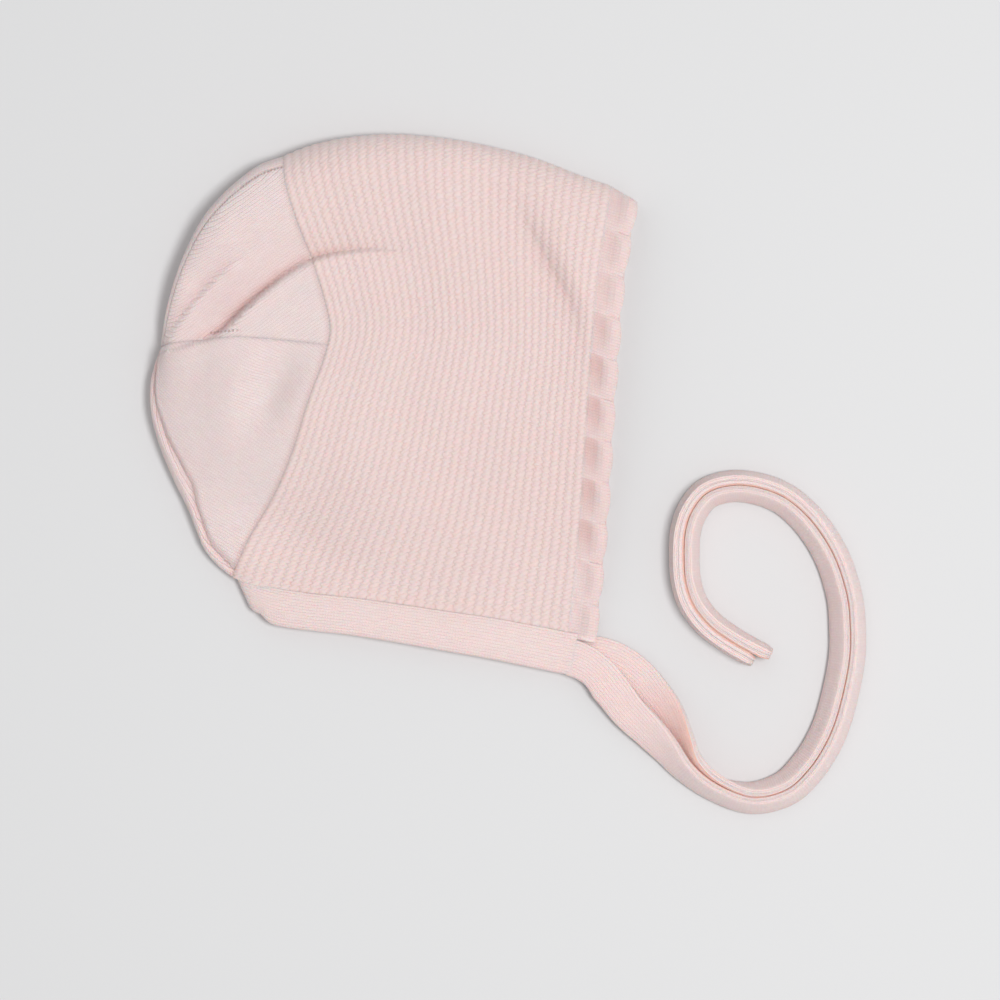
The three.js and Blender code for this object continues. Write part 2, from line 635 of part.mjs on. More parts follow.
function neckBand() {
  const flat = foldSection(BAND_WIDTH_BACK, BAND_THICKNESS, BAND_SLOT, BAND_WIDTH_BACK - BAND_CLOTH - 0.6);
  const firstRun = -BAND_OVERHANG / neckSeam.getLength();
  const lift = GAP * 0.6;
  const section = (frame, centre, thicknessWay) => {
    const { across, width } = frame;
    const scale = width / BAND_WIDTH_BACK;
    const acrossWay = new THREE.Vector3(across.x, across.y, 0);
    return flat.map((p) =>
      centre
        .clone()
        .addScaledVector(acrossWay, lift + p.x * scale)
        .addScaledVector(thicknessWay, p.y),
    );
  };
  const sections = [];
  const run = (i) => lerp(firstRun, 1, i / BAND_STATIONS);
  for (let i = 0; i <= BAND_STATIONS; i++) {
    const frame = neckFrame(run(i));
    const centre = new THREE.Vector3(frame.point.x, frame.point.y, UPPER_BAND_MIDDLE + neckArch(run(i)));
    sections.push(section(frame, centre, UP));
  }
  const nape = neckFrame(1);
  const outward = new THREE.Vector3(nape.tangent.x, nape.tangent.y, 0);
  const middle = (UPPER_BAND_MIDDLE + LOWER_BAND_MIDDLE) / 2;
  const radius = (UPPER_BAND_MIDDLE - LOWER_BAND_MIDDLE) / 2;
  for (let i = 1; i < BAND_TURN_STATIONS; i++) {
    const angle = (Math.PI * i) / BAND_TURN_STATIONS;
    const way = outward.clone().multiplyScalar(Math.sin(angle)).addScaledVector(UP, Math.cos(angle));
    const centre = new THREE.Vector3(nape.point.x, nape.point.y, middle).addScaledVector(way, radius);
    sections.push(section(nape, centre, way));
  }
  for (let i = BAND_STATIONS; i >= 0; i--) {
    const frame = neckFrame(run(i));
    const centre = new THREE.Vector3(frame.point.x, frame.point.y, LOWER_BAND_MIDDLE);
    sections.push(section(frame, centre, UP.clone().negate()));
  }
  return sweptSolid(sections, flat);
}

// A tie: a strip folded lengthwise that starts where the band ends and follows the route.
function tie(lay) {
  const start = neckFrame(-BAND_OVERHANG / neckSeam.getLength());
  const from = start.point.clone().addScaledVector(start.across, start.width / 2 + GAP * 0.6);
  from.addScaledVector(start.tangent, -GAP);
  const turn = new THREE.Vector2(-start.tangent.x, -start.tangent.y);
  const route = new THREE.CatmullRomCurve3(
    TIE_ROUTE.map((p) => new THREE.Vector3(from.x + p.x * TIE_LENGTH, from.y + p.y * TIE_LENGTH, 0)),
    false,
    "centripetal",
  );
  route.arcLengthDivisions = 600;
  const flat = foldSection(TIE_WIDTH, TIE_THICKNESS, TIE_SLOT_WIDTH, TIE_SLOT_DEPTH);
  const sections = [];
  for (let i = 0; i <= TIE_STATIONS; i++) {
    const at = i / TIE_STATIONS;
    const value = (name) => column(lay, "at", at, name);
    const tangent = route.getTangentAt(at);
    const settle = smooth(at / 0.05);
    tangent.set(lerp(turn.x, tangent.x, settle), lerp(turn.y, tangent.y, settle), 0).normalize();
    const left = new THREE.Vector3(-tangent.y, tangent.x, 0);
    const angle = THREE.MathUtils.degToRad(value("roll"));
    const [wide, thick] = [value("wide"), value("thick")];
    const halfWidth = (TIE_WIDTH * wide) / 2;
    const halfThickness = (TIE_THICKNESS * thick) / 2;
    const rest = halfWidth * Math.abs(Math.sin(angle)) + halfThickness * Math.abs(Math.cos(angle));
    const centre = route.getPointAt(at).addScaledVector(left, value("side") * TIE_WIDTH);
    centre.z = rest + value("lift") * TIE_THICKNESS;
    const acrossWay = left.clone().multiplyScalar(Math.cos(angle)).addScaledVector(UP, Math.sin(angle));
    const thicknessWay = left.clone().multiplyScalar(-Math.sin(angle)).addScaledVector(UP, Math.cos(angle));
    sections.push(
      flat.map((p) =>
        centre
          .clone()
          .addScaledVector(acrossWay, halfWidth - p.x * wide)
          .addScaledVector(thicknessWay, p.y * thick),
      ),
    );
  }
  return sweptSolid(sections, flat);
}

const split = wayOf(WEDGE_SPLIT);
const upperWays = [...UPPER_STEPS, split].sort((a, b) => a - b);
const lowerWays = [...LOWER_STEPS, 2 - split].sort((a, b) => a - b);
add("side_panel", sidePanel(), yarn);
add("crown_upper_near", crownWedge([split, ...upperWays.filter((way) => way > split), 1]), yarn);
add("crown_lower_near", crownWedge([0, ...upperWays.filter((way) => way < split), split]), yarn);
add("crown_upper_far", crownWedge([1, ...lowerWays.filter((way) => way < 2 - split), 2 - split]), yarn);
add("crown_lower_far", crownWedge([2 - split, ...lowerWays.filter((way) => way > 2 - split), 2]), yarn);
add("scallop_edge", scallopEdge(), yarn);
add("neck_band", neckBand(), yarn);
add("near_tie", tie(NEAR_TIE_LAY), yarn);
add("far_tie", tie(FAR_TIE_LAY), yarn);

export default bonnet;
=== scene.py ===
import math

import bpy
import numpy as np
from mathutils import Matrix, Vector


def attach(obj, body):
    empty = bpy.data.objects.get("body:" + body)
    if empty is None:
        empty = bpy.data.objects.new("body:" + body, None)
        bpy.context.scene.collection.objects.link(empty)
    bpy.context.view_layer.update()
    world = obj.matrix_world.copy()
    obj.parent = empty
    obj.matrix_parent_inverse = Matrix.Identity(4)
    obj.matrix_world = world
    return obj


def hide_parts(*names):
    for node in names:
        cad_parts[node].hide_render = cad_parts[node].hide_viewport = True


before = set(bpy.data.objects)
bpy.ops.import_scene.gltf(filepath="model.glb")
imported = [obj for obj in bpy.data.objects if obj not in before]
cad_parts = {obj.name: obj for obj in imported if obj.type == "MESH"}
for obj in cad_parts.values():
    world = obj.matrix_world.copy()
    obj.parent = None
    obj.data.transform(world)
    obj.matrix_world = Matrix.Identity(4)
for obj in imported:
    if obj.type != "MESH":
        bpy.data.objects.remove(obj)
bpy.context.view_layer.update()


# Moss-stitch side
# One knitted piece of fine pale pink yarn that goes from the upper side round the top of the
# head to the lower side. Its ribs run from the neck over the top and fan out towards the crown.

SIDE_DEPTH = 143.5
SIDE_HEIGHT = 156.0
LOFT = 21.0
FOLD_RADIUS = 3.6
SIDE_WALL = 1.6
ROLL_WIDTH = 13.0
ROLL_POWER = 2.3
ORIGIN = (0.607, 0.468)
GAP = 0.3

BAND_CLOTH = 0.9
BAND_TAB = 6.0
BAND_TAB_WALL = 0.5
BAND_ARCH = 1.4
BAND_WIDTH_BACK = 11.6
BAND_WIDTH_FRONT = 13.1
BAND_SLOT = BAND_TAB_WALL + 2 * GAP
BAND_THICKNESS = BAND_SLOT + 2 * BAND_CLOTH
LOWER_BAND_MIDDLE = BAND_THICKNESS / 2
UPPER_BAND_MIDDLE = LOWER_BAND_MIDDLE + BAND_THICKNESS + GAP
NECK_LEAD = 9.0

# Plan outlines, as shares of the depth from the back and of the height from the neck.
TOP_FOLD = [
    (1.0, 0.895), (0.931, 0.917), (0.844, 0.948), (0.758, 0.97), (0.672, 0.986), (0.585, 0.996),
    (0.499, 0.998), (0.413, 0.99), (0.348, 0.976), (0.289, 0.955),
]
FACE_SEAM = [
    (0.905, 0.0), (0.924, 0.167), (0.937, 0.333), (0.948, 0.498), (0.959, 0.627), (0.973, 0.75),
    (1.0, 0.895),
]
NECK_SEAM = [
    (0.905, 0.0), (0.758, 0.026), (0.626, 0.044), (0.462, 0.066), (0.326, 0.08), (0.244, 0.094),
    (0.177, 0.115),
]
CROWN_SEAM = [
    (0.177, 0.115), (0.212, 0.188), (0.274, 0.286), (0.313, 0.371), (0.346, 0.466), (0.378, 0.545),
    (0.393, 0.607), (0.379, 0.672), (0.355, 0.742), (0.323, 0.817), (0.297, 0.895), (0.289, 0.955),
]
CROWN_TOP = [
    (0.289, 0.955), (0.238, 0.938), (0.195, 0.91), (0.151, 0.873), (0.112, 0.829), (0.081, 0.775),
    (0.056, 0.717), (0.038, 0.659), (0.027, 0.607), (0.022, 0.573),
]
CROWN_BACK = [
    (0.177, 0.115), (0.143, 0.141), (0.117, 0.171), (0.099, 0.21), (0.08, 0.254), (0.052, 0.306),
    (0.024, 0.367), (0.004, 0.428), (0.0, 0.484), (0.008, 0.532), (0.022, 0.573),
]

# Height of the upper side in shares of LOFT: run, crest, neck. Run is 0 at the face seam, 1 at
# the crown seam and 2 at the tip of the crown.
HEIGHTS = [
    (0.0, 0.6, 0.3), (0.3, 0.67, 0.3), (0.6, 0.78, 0.3), (0.85, 0.9, 0.32), (1.0, 0.96, 0.36),
    (1.3, 0.97, 0.45), (1.6, 0.82, 0.5), (2.0, 0.6, 0.5),
]

# Soft dents and swells: back, up, turn in degrees, long and wide in shares of the depth, and
# rise in shares of LOFT.
DENTS = [
    (0.265, 0.49, 60, 0.09, 0.045, -0.26),
    (0.92, 0.7, 105, 0.2, 0.055, 0.12),
    (0.8, 0.75, 125, 0.2, 0.08, -0.13),
    (0.33, 0.18, 145, 0.2, 0.07, -0.12),
    (0.5, 0.3, 145, 0.24, 0.09, 0.08),
]

# Two creases of the crown and a soft fold of the side: width, how much wider the bank at its
# left is, ridge at its right, and a route of back, up, deep.
CREASES = [
    (0.0075, 10.0, 0.35, [
        (0.05, 0.569, 0.04), (0.089, 0.583, 0.1), (0.13, 0.594, 0.18), (0.163, 0.611, 0.26),
        (0.203, 0.65, 0.29), (0.257, 0.692, 0.28), (0.31, 0.728, 0.25), (0.359, 0.752, 0.21),
        (0.413, 0.764, 0.15), (0.492, 0.771, 0.07), (0.575, 0.763, 0.0),
    ]),
    (0.011, 3.5, 0.35, [
        (0.04, 0.605, 0.07), (0.089, 0.662, 0.13), (0.143, 0.716, 0.11), (0.197, 0.751, 0.05),
        (0.25, 0.79, 0.0),
    ]),
    (0.03, 2.0, 0.45, [
        (0.93, 0.53, 0.0), (0.928, 0.6, 0.05), (0.912, 0.66, 0.09), (0.884, 0.705, 0.11),
        (0.852, 0.755, 0.11), (0.82, 0.81, 0.08), (0.785, 0.87, 0.0),
    ]),
]
RIDGE_AWAY = 3.0
RIDGE_SPREAD = 3.4
RIDGE_START = 1.5

# Painted shade inside a crease: at what depth it is full, how fast it grows, and how wide on each side.
CREASE_SHADE_DEPTH = 0.25
CREASE_SHADE_POWER = 1.5
CREASE_SHADE_LEFT = 1.6
CREASE_SHADE_RIGHT = 0.7


def smooth(x):
    x = np.clip(x, 0, 1)
    return x * x * (3 - 2 * x)


def lerp(a, b, t):
    return a + (b - a) * t


def bell(distance, width):
    return np.exp(-((distance / width) ** 2))


def lengths_along(points):
    steps = np.linalg.norm(np.diff(points, axis=0), axis=1)
    return np.concatenate([[0], np.cumsum(steps)])


def column(rows, place, which):
    """A column of a table at places in its first column, eased from row to row."""
    table = np.array(rows, dtype=float)
    place = np.asarray(place, dtype=float)
    after = np.clip(np.searchsorted(table[:, 0], place, side="left"), 1, len(table) - 1)
    a, b = table[after - 1], table[after]
    share = np.clip((place - a[..., 0]) / (b[..., 0] - a[..., 0]), 0, 1)
    return lerp(a[..., which], b[..., which], smooth(share))


def to_plan(share):
    return np.array([(share[0] - ORIGIN[0]) * SIDE_DEPTH, (share[1] - ORIGIN[1]) * SIDE_HEIGHT])


SPAN_SAMPLES = 80
TANGENT_STEP = 0.002


class Outline:
    """A smooth curve through the table's points, read by its share of length."""

    def __init__(self, rows):
        points = np.array([to_plan(row) for row in rows])
        last = len(points) - 1
        samples = []
        for i in range(last):
            t = np.linspace(0, 1, SPAN_SAMPLES, endpoint=i == last - 1)[:, None]
            p0, p1, p2, p3 = (points[np.clip(j, 0, last)] for j in (i - 1, i, i + 1, i + 2))
            v0, v1 = (p2 - p0) / 2, (p3 - p1) / 2
            samples.append(
                (2 * p1 - 2 * p2 + v0 + v1) * t**3 + (-3 * p1 + 3 * p2 - 2 * v0 - v1) * t**2 + v0 * t + p1
            )
        self.points = np.concatenate(samples)
        self.lengths = lengths_along(self.points)
        self.length = self.lengths[-1]

    def at(self, share):
        wanted = np.clip(share, 0, 1) * self.length
        return np.stack([np.interp(wanted, self.lengths, self.points[:, k]) for k in (0, 1)], -1)

    def tangent(self, share):
        before = self.at(np.clip(share - TANGENT_STEP, 0, 1))
        after = self.at(np.clip(share + TANGENT_STEP, 0, 1))
        return (after - before) / np.linalg.norm(after - before, axis=-1, keepdims=True)


top_fold = Outline(TOP_FOLD)
face_seam = Outline(FACE_SEAM)
neck_seam = Outline(NECK_SEAM)
crown_seam = Outline(CROWN_SEAM)
crown_top = Outline(CROWN_TOP)
crown_back = Outline(CROWN_BACK)
crown_tip = crown_top.at(np.array(1.0))


def patch(start, end, low, high, along, across):
    """A place between four edges that meet at their ends."""
    s, t = along[..., None], across[..., None]
    point = start(across) * (1 - s) + end(across) * s + low(along) * (1 - t) + high(along) * t
    zero, one = np.zeros_like(across), np.ones_like(across)
    point = point - start(zero) * (1 - s) * (1 - t) - start(one) * (1 - s) * t
    return point - end(zero) * s * (1 - t) - end(one) * s * t


def plan(run, rise):
    """The place seen from above, at a run and a share of the way up from neck to top."""
    run, rise = np.broadcast_arrays(np.asarray(run, float), np.asarray(rise, float))

    def to_tip(share):
        return np.broadcast_to(crown_tip, share.shape + (2,))

    side = patch(face_seam.at, crown_seam.at, neck_seam.at, top_fold.at, np.clip(run, 0, 1), rise)
    crown = patch(crown_seam.at, to_tip, crown_back.at, crown_top.at, np.clip(run - 1, 0, 1), rise)
    return np.where((run <= 1)[..., None], side, crown)


def rolled(distance, width, power):
    return (1 - (1 - np.clip(distance / width, 0, 1)) ** power) ** (1 / power)


def outline_distances(run, rise):
    """How far a place is from the top, from the neck or nape, and from the back or crown tip."""
    on_side = run <= 1
    high = np.where(on_side[..., None], top_fold.at(run), crown_top.at(run - 1))
    low = np.where(on_side[..., None], neck_seam.at(run), crown_back.at(run - 1))
    length = np.linalg.norm(high - low, axis=-1)
    from_nape = np.hypot(rise * length, (1 - run) * neck_seam.length)
    seam_to_tip = np.linalg.norm(crown_seam.at(rise) - crown_tip, axis=-1)
    out_of_reach = np.full_like(length, 1e3)
    second = np.where(on_side, from_nape, rise * length)
    third = np.where(on_side, out_of_reach, (2 - run) * seam_to_tip)
    return [(1 - rise) * length, second, third]


def dent_height(point):
    height = 0
    for back, up, turn, long, wide, rise in DENTS:
        away = point - to_plan((back, up))
        c, s = math.cos(math.radians(-turn)), math.sin(math.radians(-turn))
        along = (away[..., 0] * c - away[..., 1] * s) / (long * SIDE_DEPTH)
        across = (away[..., 0] * s + away[..., 1] * c) / (wide * SIDE_DEPTH)
        height = height + rise * LOFT * np.exp(-along * along - across * across)
    return height


def rounded(route):
    """The rows of a route with their corners cut off twice."""
    rows = np.array(route, dtype=float)
    for _ in range(2):
        near, far = lerp(rows[:-1], rows[1:], 0.25), lerp(rows[:-1], rows[1:], 0.75)
        between = np.stack([near, far], 1).reshape(-1, rows.shape[1])
        rows = np.concatenate([rows[:1], between, rows[-1:]])
    return rows


def crease_shape(point):
    """The height that the creases give, and how much painted shade a place gets inside one."""
    height, inside = np.zeros(point.shape[:-1]), np.zeros(point.shape[:-1])
    for width_share, bank, ridge_share, route in CREASES:
        best = np.full(height.shape, 1e9)
        left = np.zeros(height.shape, bool)
        deep = np.zeros(height.shape)
        curve = rounded(route)
        for first, second in zip(curve, curve[1:]):
            a, b = to_plan(first), to_plan(second)
            along = b - a
            share = np.clip(((point - a) @ along) / (along @ along), 0, 1)
            away = point - (a + share[..., None] * along)
            distance = np.linalg.norm(away, axis=-1)
            nearer = distance < best
            best = np.where(nearer, distance, best)
            left = np.where(nearer, along[0] * away[..., 1] - along[1] * away[..., 0] > 0, left)
            deep = np.where(nearer, lerp(first[2], second[2], share), deep)
        width = width_share * SIDE_DEPTH
        height -= deep * LOFT * bell(best, np.where(left, width * bank, width))
        ridge = ridge_share * deep * LOFT * bell(best - RIDGE_AWAY, RIDGE_SPREAD)
        height += np.where(left, 0, ridge * smooth(best / RIDGE_START))
        crease_painted_shade = (deep / CREASE_SHADE_DEPTH) ** CREASE_SHADE_POWER * bell(best, np.where(left, CREASE_SHADE_LEFT, CREASE_SHADE_RIGHT))
        inside = np.maximum(inside, crease_painted_shade)
    return height, np.clip(inside, 0, 1)


def crease_height(point):
    return crease_shape(point)[0]


def neck_arch(run):
    return BAND_ARCH * np.sin(np.pi * np.clip(run, 0, 1))


CREST_RISE = 0.5
DENT_START = 0.1


def upper_height(run, rise, point):
    crest = column(HEIGHTS, run, 1) * LOFT
    neck = column(HEIGHTS, run, 2) * LOFT
    seam_height = UPPER_BAND_MIDDLE + SIDE_WALL / 2 + neck_arch(run)
    hem = np.where(run <= 1, seam_height, neck)
    start = lerp(hem, neck, smooth(run * 4 - 3))
    shape = lerp(start, crest, smooth(rise / CREST_RISE))
    shape = shape + (dent_height(point) + crease_height(point)) * smooth(rise / DENT_START)
    rolls = 1
    for distance in outline_distances(run, rise):
        rolls = rolls * rolled(distance, ROLL_WIDTH, ROLL_POWER)
    return FOLD_RADIUS + (shape - FOLD_RADIUS) * rolls


def lower_height(run, rise):
    distances = outline_distances(run, rise)
    rolls = 1
    for distance in distances:
        rolls = rolls * rolled(distance, FOLD_RADIUS, 2)
    height = FOLD_RADIUS * (1 - rolls)
    near_neck = 1 - smooth(rise * SIDE_HEIGHT / NECK_LEAD)
    lead = near_neck * smooth(distances[1] / ROLL_WIDTH) * (LOWER_BAND_MIDDLE - SIDE_WALL / 2)
    return height + np.where(run <= 1, lead, 0)


def rise_of(way):
    return (1 - np.cos(np.pi * np.where(way > 1, 2 - way, way))) / 2


def way_of(rise):
    return np.arccos(1 - 2 * np.clip(rise, 0, 1)) / np.pi


def skin(run, way):
    """The cloth's outer face; way is 0 at the upper neck seam, 1 at the top, 2 at the lower one."""
    run, way = np.broadcast_arrays(np.asarray(run, float), np.asarray(way, float))
    rise = rise_of(way)
    point = plan(run, rise)
    height = np.where(way <= 1, upper_height(run, rise, point), lower_height(run, rise))
    return np.concatenate([point, height[..., None]], -1)


def unit(vectors):
    return vectors / np.maximum(np.linalg.norm(vectors, axis=-1, keepdims=True), 1e-9)


NORMAL_STEP = 0.004
LAST_RUN = 1.985
FIRST_WAY, LAST_WAY = 0.001, 1.999


def skin_normal(run, way):
    run, way = np.broadcast_arrays(np.asarray(run, float), np.asarray(way, float))
    behind = skin(np.clip(run - NORMAL_STEP, 0, LAST_RUN), way)
    ahead = skin(np.clip(run + NORMAL_STEP, 0, LAST_RUN), way)
    before = skin(run, np.clip(way - NORMAL_STEP, FIRST_WAY, LAST_WAY))
    after = skin(run, np.clip(way + NORMAL_STEP, FIRST_WAY, LAST_WAY))
    return -unit(np.cross(ahead - behind, after - before))


SHARP_ANGLE = math.radians(55)


def as_map(values):
    return np.stack([values, values], -1)


def knitted(name, mesh):
    """The piece made of a mesh, smooth but for its sharp edges."""
    mesh.shade_smooth()
    mesh.validate()
    mesh.set_sharp_from_angle(angle=SHARP_ANGLE)
    piece = bpy.data.objects.new(name, mesh)
    bpy.context.collection.objects.link(piece)
    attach(piece, "root")
    return piece


def closed_cloth(name, outer, inner, step, maps):
    """A closed piece between a fine outer grid and an inner grid with every step-th point of it."""
    rows, columns = outer.shape[:2]
    fine = np.arange(rows * columns).reshape(rows, columns)
    coarse = rows * columns + np.arange(inner.shape[0] * inner.shape[1]).reshape(inner.shape[:2])
    quads = np.stack([fine[:-1, :-1], fine[:-1, 1:], fine[1:, 1:], fine[1:, :-1]], -1).reshape(-1, 4)
    backs = np.stack(
        [coarse[:-1, :-1], coarse[1:, :-1], coarse[1:, 1:], coarse[:-1, 1:]], -1
    ).reshape(-1, 4)
    faces = quads.tolist() + backs.tolist()
    rims = [
        (fine[0], coarse[0], True), (fine[-1], coarse[-1], False),
        (fine[:, 0], coarse[:, 0], False), (fine[:, -1], coarse[:, -1], True),
    ]
    for edge, back, turned in rims:
        for i in range(len(back) - 1):
            fine_edge = edge[i * step : i * step + step + 1].tolist()
            ring = [int(back[i]), int(back[i + 1])] + fine_edge[::-1]
            faces.append(ring if turned else ring[::-1])
    points = np.concatenate([outer.reshape(-1, 3), inner.reshape(-1, 3)]) * 0.001
    mesh = bpy.data.meshes.new(name)
    mesh.from_pydata(points.tolist(), [], faces)
    corners = np.empty(len(mesh.loops), dtype=np.int64)
    mesh.loops.foreach_get("vertex_index", corners)
    for map_name, values in maps.items():
        whole = np.concatenate([values.reshape(-1, 2), values[::step, ::step].reshape(-1, 2)])
        layer = mesh.uv_layers.new(name=map_name)
        layer.data.foreach_set("uv", whole[corners].ravel())
    return knitted(name, mesh)


RIBS = 35
RIB_STEPS = 4
UPPER_BEADS = 94
LOWER_BEADS = 94
UPPER_BEAD_STEPS = 4
LOWER_BEAD_STEPS = 2
HEM_WAY = 0.012
INNER_STEP = 4


def even_ways(first, last, count):
    """Ways spaced evenly by length down the middle of the side."""
    fine = np.linspace(first, last, 600)
    lengths = lengths_along(skin(0.5, fine))
    return np.interp(np.linspace(0, lengths[-1], count), lengths, fine)


upper_steps = UPPER_BEADS * UPPER_BEAD_STEPS
lower_steps = LOWER_BEADS * LOWER_BEAD_STEPS
upper_ways = even_ways(HEM_WAY, 1.0, upper_steps + 1)
lower_ways = even_ways(1.0, 2 - HEM_WAY, lower_steps + 1)[1:]
ways = np.concatenate([upper_ways, lower_ways])
upper_beads = np.arange(upper_steps + 1) / UPPER_BEAD_STEPS
lower_beads = UPPER_BEADS + np.arange(1, lower_steps + 1) / LOWER_BEAD_STEPS
beads = np.concatenate([upper_beads, lower_beads])
runs = np.linspace(0, 1, RIBS * RIB_STEPS + 1)
ribs = np.linspace(0, RIBS, RIBS * RIB_STEPS + 1)
run_grid, way_grid = np.meshgrid(runs, ways, indexing="ij")
rib_grid, bead_grid = np.meshgrid(ribs, beads, indexing="ij")
side_skin = skin(run_grid, way_grid)
side_normal = skin_normal(run_grid, way_grid)

# The first and last rows turn into a thin tab inside the neck band. Towards the nape the tab
# fades out, and a plain hem takes its place.
NAPE_ACROSS = (0.5, -0.87)
NAPE_TURN = 0.8
TAB_FADE = 0.735
HEM_FADE = 0.79
FADE_LENGTH = 0.05
TAB_START = -0.4
UPPER_TAB_ROWS = 5
UPPER_ROW_GAP = 0.15
LOWER_TAB_ROWS = 3
LOWER_ROW_GAP = 0.6


def across_band(share):
    """The way from the neck seam out across the band."""
    tangent = neck_seam.tangent(share)
    square = np.stack([-tangent[..., 1], tangent[..., 0]], -1)
    turned = smooth((share - NAPE_TURN) / (1 - NAPE_TURN))
    return unit(lerp(square, np.array(NAPE_ACROSS), np.expand_dims(turned, -1)))


neck_point = neck_seam.at(runs)
neck_across = across_band(runs)
tab_reach = lerp(BAND_TAB, 0, smooth((runs - TAB_FADE) / FADE_LENGTH))
hem_only = smooth((runs - HEM_FADE) / FADE_LENGTH)[:, None]
inner_skin = side_skin - side_normal * SIDE_WALL


def tab_rows(distance, middle, index, sign):
    base = neck_point + neck_across * np.broadcast_to(distance, runs.shape)[:, None]
    centre = np.concatenate([base, np.broadcast_to(middle, runs.shape)[:, None]], -1)
    half = np.array([0, 0, sign * BAND_TAB_WALL / 2])
    outer = lerp(centre + half, side_skin[:, index], hem_only)
    inner = lerp(centre - half, inner_skin[:, index], hem_only)
    return outer, inner


# How far the beads stand out: round across each rib, with a wave along it that is half a bead
# on from rib to rib, and flat beside the crown seam and in the hem.
BEAD_RELIEF = 0.26
RIB_ROUNDING = 0.85
RIB_POWER = 2.2
BEAD_ROUNDING = 0.4
SUNK_SHARE = 0.45
SEAM_FLATTENING = 0.8
SEAM_WIDTH = 0.6
HEM_BEADS = 1.5
lift = BEAD_RELIEF * (1 - RIB_ROUNDING * np.abs(2 * (rib_grid % 1) - 1) ** RIB_POWER)
stagger = 0.5 * (np.floor(rib_grid) % 2) + ((rib_grid % 1) - 0.5)
bead_wave = 0.5 - 0.5 * np.cos(2 * np.pi * (bead_grid + stagger))
lift *= 1 - BEAD_ROUNDING + BEAD_ROUNDING * bead_wave
from_crown_seam = (1 - run_grid) * neck_seam.length
lift *= 1 - SEAM_FLATTENING * bell(from_crown_seam, SEAM_WIDTH)
from_neck = np.minimum(bead_grid, (UPPER_BEADS + LOWER_BEADS) - bead_grid)
lift *= np.clip((from_neck - 1) / HEM_BEADS, 0, 1)
side_outer = side_skin + side_normal * (lift - BEAD_RELIEF * SUNK_SHARE)[..., None]
side_outer[..., 2] = np.where(way_grid > 1, np.maximum(side_outer[..., 2], 0), side_outer[..., 2])
side_inner = inner_skin.copy()
upper_middle = UPPER_BAND_MIDDLE + neck_arch(runs)
for index in range(UPPER_TAB_ROWS):
    reach = lerp(tab_reach, TAB_START, min(index / 2, 1)) - max(index - 2, 0) * UPPER_ROW_GAP
    side_outer[:, index], side_inner[:, index] = tab_rows(reach, upper_middle, index, 1)
for index in range(LOWER_TAB_ROWS):
    reach = lerp(tab_reach, TAB_START, min(index, 1)) - max(index - 1, 0) * LOWER_ROW_GAP
    rows = tab_rows(reach, LOWER_BAND_MIDDLE, -1 - index, -1)
    side_outer[:, -1 - index], side_inner[:, -1 - index] = rows

# Painted shade darkens the yarn in the creases and beside the crown seam, more so towards the neck.
SEAM_SHADE_AT_NECK = 0.7
SEAM_SHADE_AT_TOP = 0.2
SEAM_SHADE_SPREAD = 0.8
side_crease_shade = crease_shape(side_skin[..., :2])[1] * (way_grid < 1)
side_seam_shade = lerp(SEAM_SHADE_AT_NECK, SEAM_SHADE_AT_TOP, way_grid) * bell(from_crown_seam, SEAM_SHADE_SPREAD)
side_maps = {
    "Stitches": np.stack([rib_grid, bead_grid], -1),
    "Inside": as_map(np.maximum(side_crease_shade, side_seam_shade)),
}
side_inner = side_inner[::INNER_STEP, ::INNER_STEP]
side_panel = closed_cloth("side_panel_knit", side_outer, side_inner, INNER_STEP, side_maps)


class Knit:
    """Small steps for building a node tree: sums, mixes and noise."""

    def __init__(self, tree):
        self.tree = tree

    def node(self, kind, **settings):
        made = self.tree.nodes.new(kind)
        for key, value in settings.items():
            setattr(made, key, value)
        return made

    def put(self, socket, value):
        if isinstance(value, bpy.types.NodeSocket):
            self.tree.links.new(value, socket)
        else:
            socket.default_value = value

    def sum(self, operation, a, b=None, c=None):
        made = self.node("ShaderNodeMath", operation=operation)
        self.put(made.inputs[0], a)
        if b is not None:
            self.put(made.inputs[1], b)
        if c is not None:
            self.put(made.inputs[2], c)
        return made.outputs[0]

    def parts(self, vector):
        made = self.node("ShaderNodeSeparateXYZ")
        self.put(made.inputs[0], vector)
        return list(made.outputs)

    def stretched(self, vector, factors):
        made = self.node("ShaderNodeVectorMath", operation="MULTIPLY")
        self.put(made.inputs[0], vector)
        made.inputs[1].default_value = factors
        return made.outputs[0]

    def swing(self, vector, scale, detail, dimensions):
        """Noise that swings evenly about nought."""
        made = self.node("ShaderNodeTexNoise", noise_dimensions=dimensions)
        self.put(made.inputs["Vector"], vector)
        self.put(made.inputs["Scale"], scale)
        self.put(made.inputs["Detail"], detail)
        return self.sum("SUBTRACT", made.outputs[0], 0.5)

    def mix(self, share, a, b, blend="MIX"):
        made = self.node("ShaderNodeMix", data_type="RGBA", blend_type=blend)
        self.put(made.inputs[0], share)
        self.put(made.inputs[6], a)
        self.put(made.inputs[7], b)
        return made.outputs[2]


def new_group(name, inputs, outputs):
    group = bpy.data.node_groups.new(name, "ShaderNodeTree")
    for socket, kind, value in inputs:
        made = group.interface.new_socket(socket, in_out="INPUT", socket_type="NodeSocket" + kind)
        if value is not None:
            made.default_value = value
    for socket, kind in outputs:
        group.interface.new_socket(socket, in_out="OUTPUT", socket_type="NodeSocket" + kind)
    knit = Knit(group)
    start = knit.node("NodeGroupInput")
    end = knit.node("NodeGroupOutput")
    return group, knit, start, end


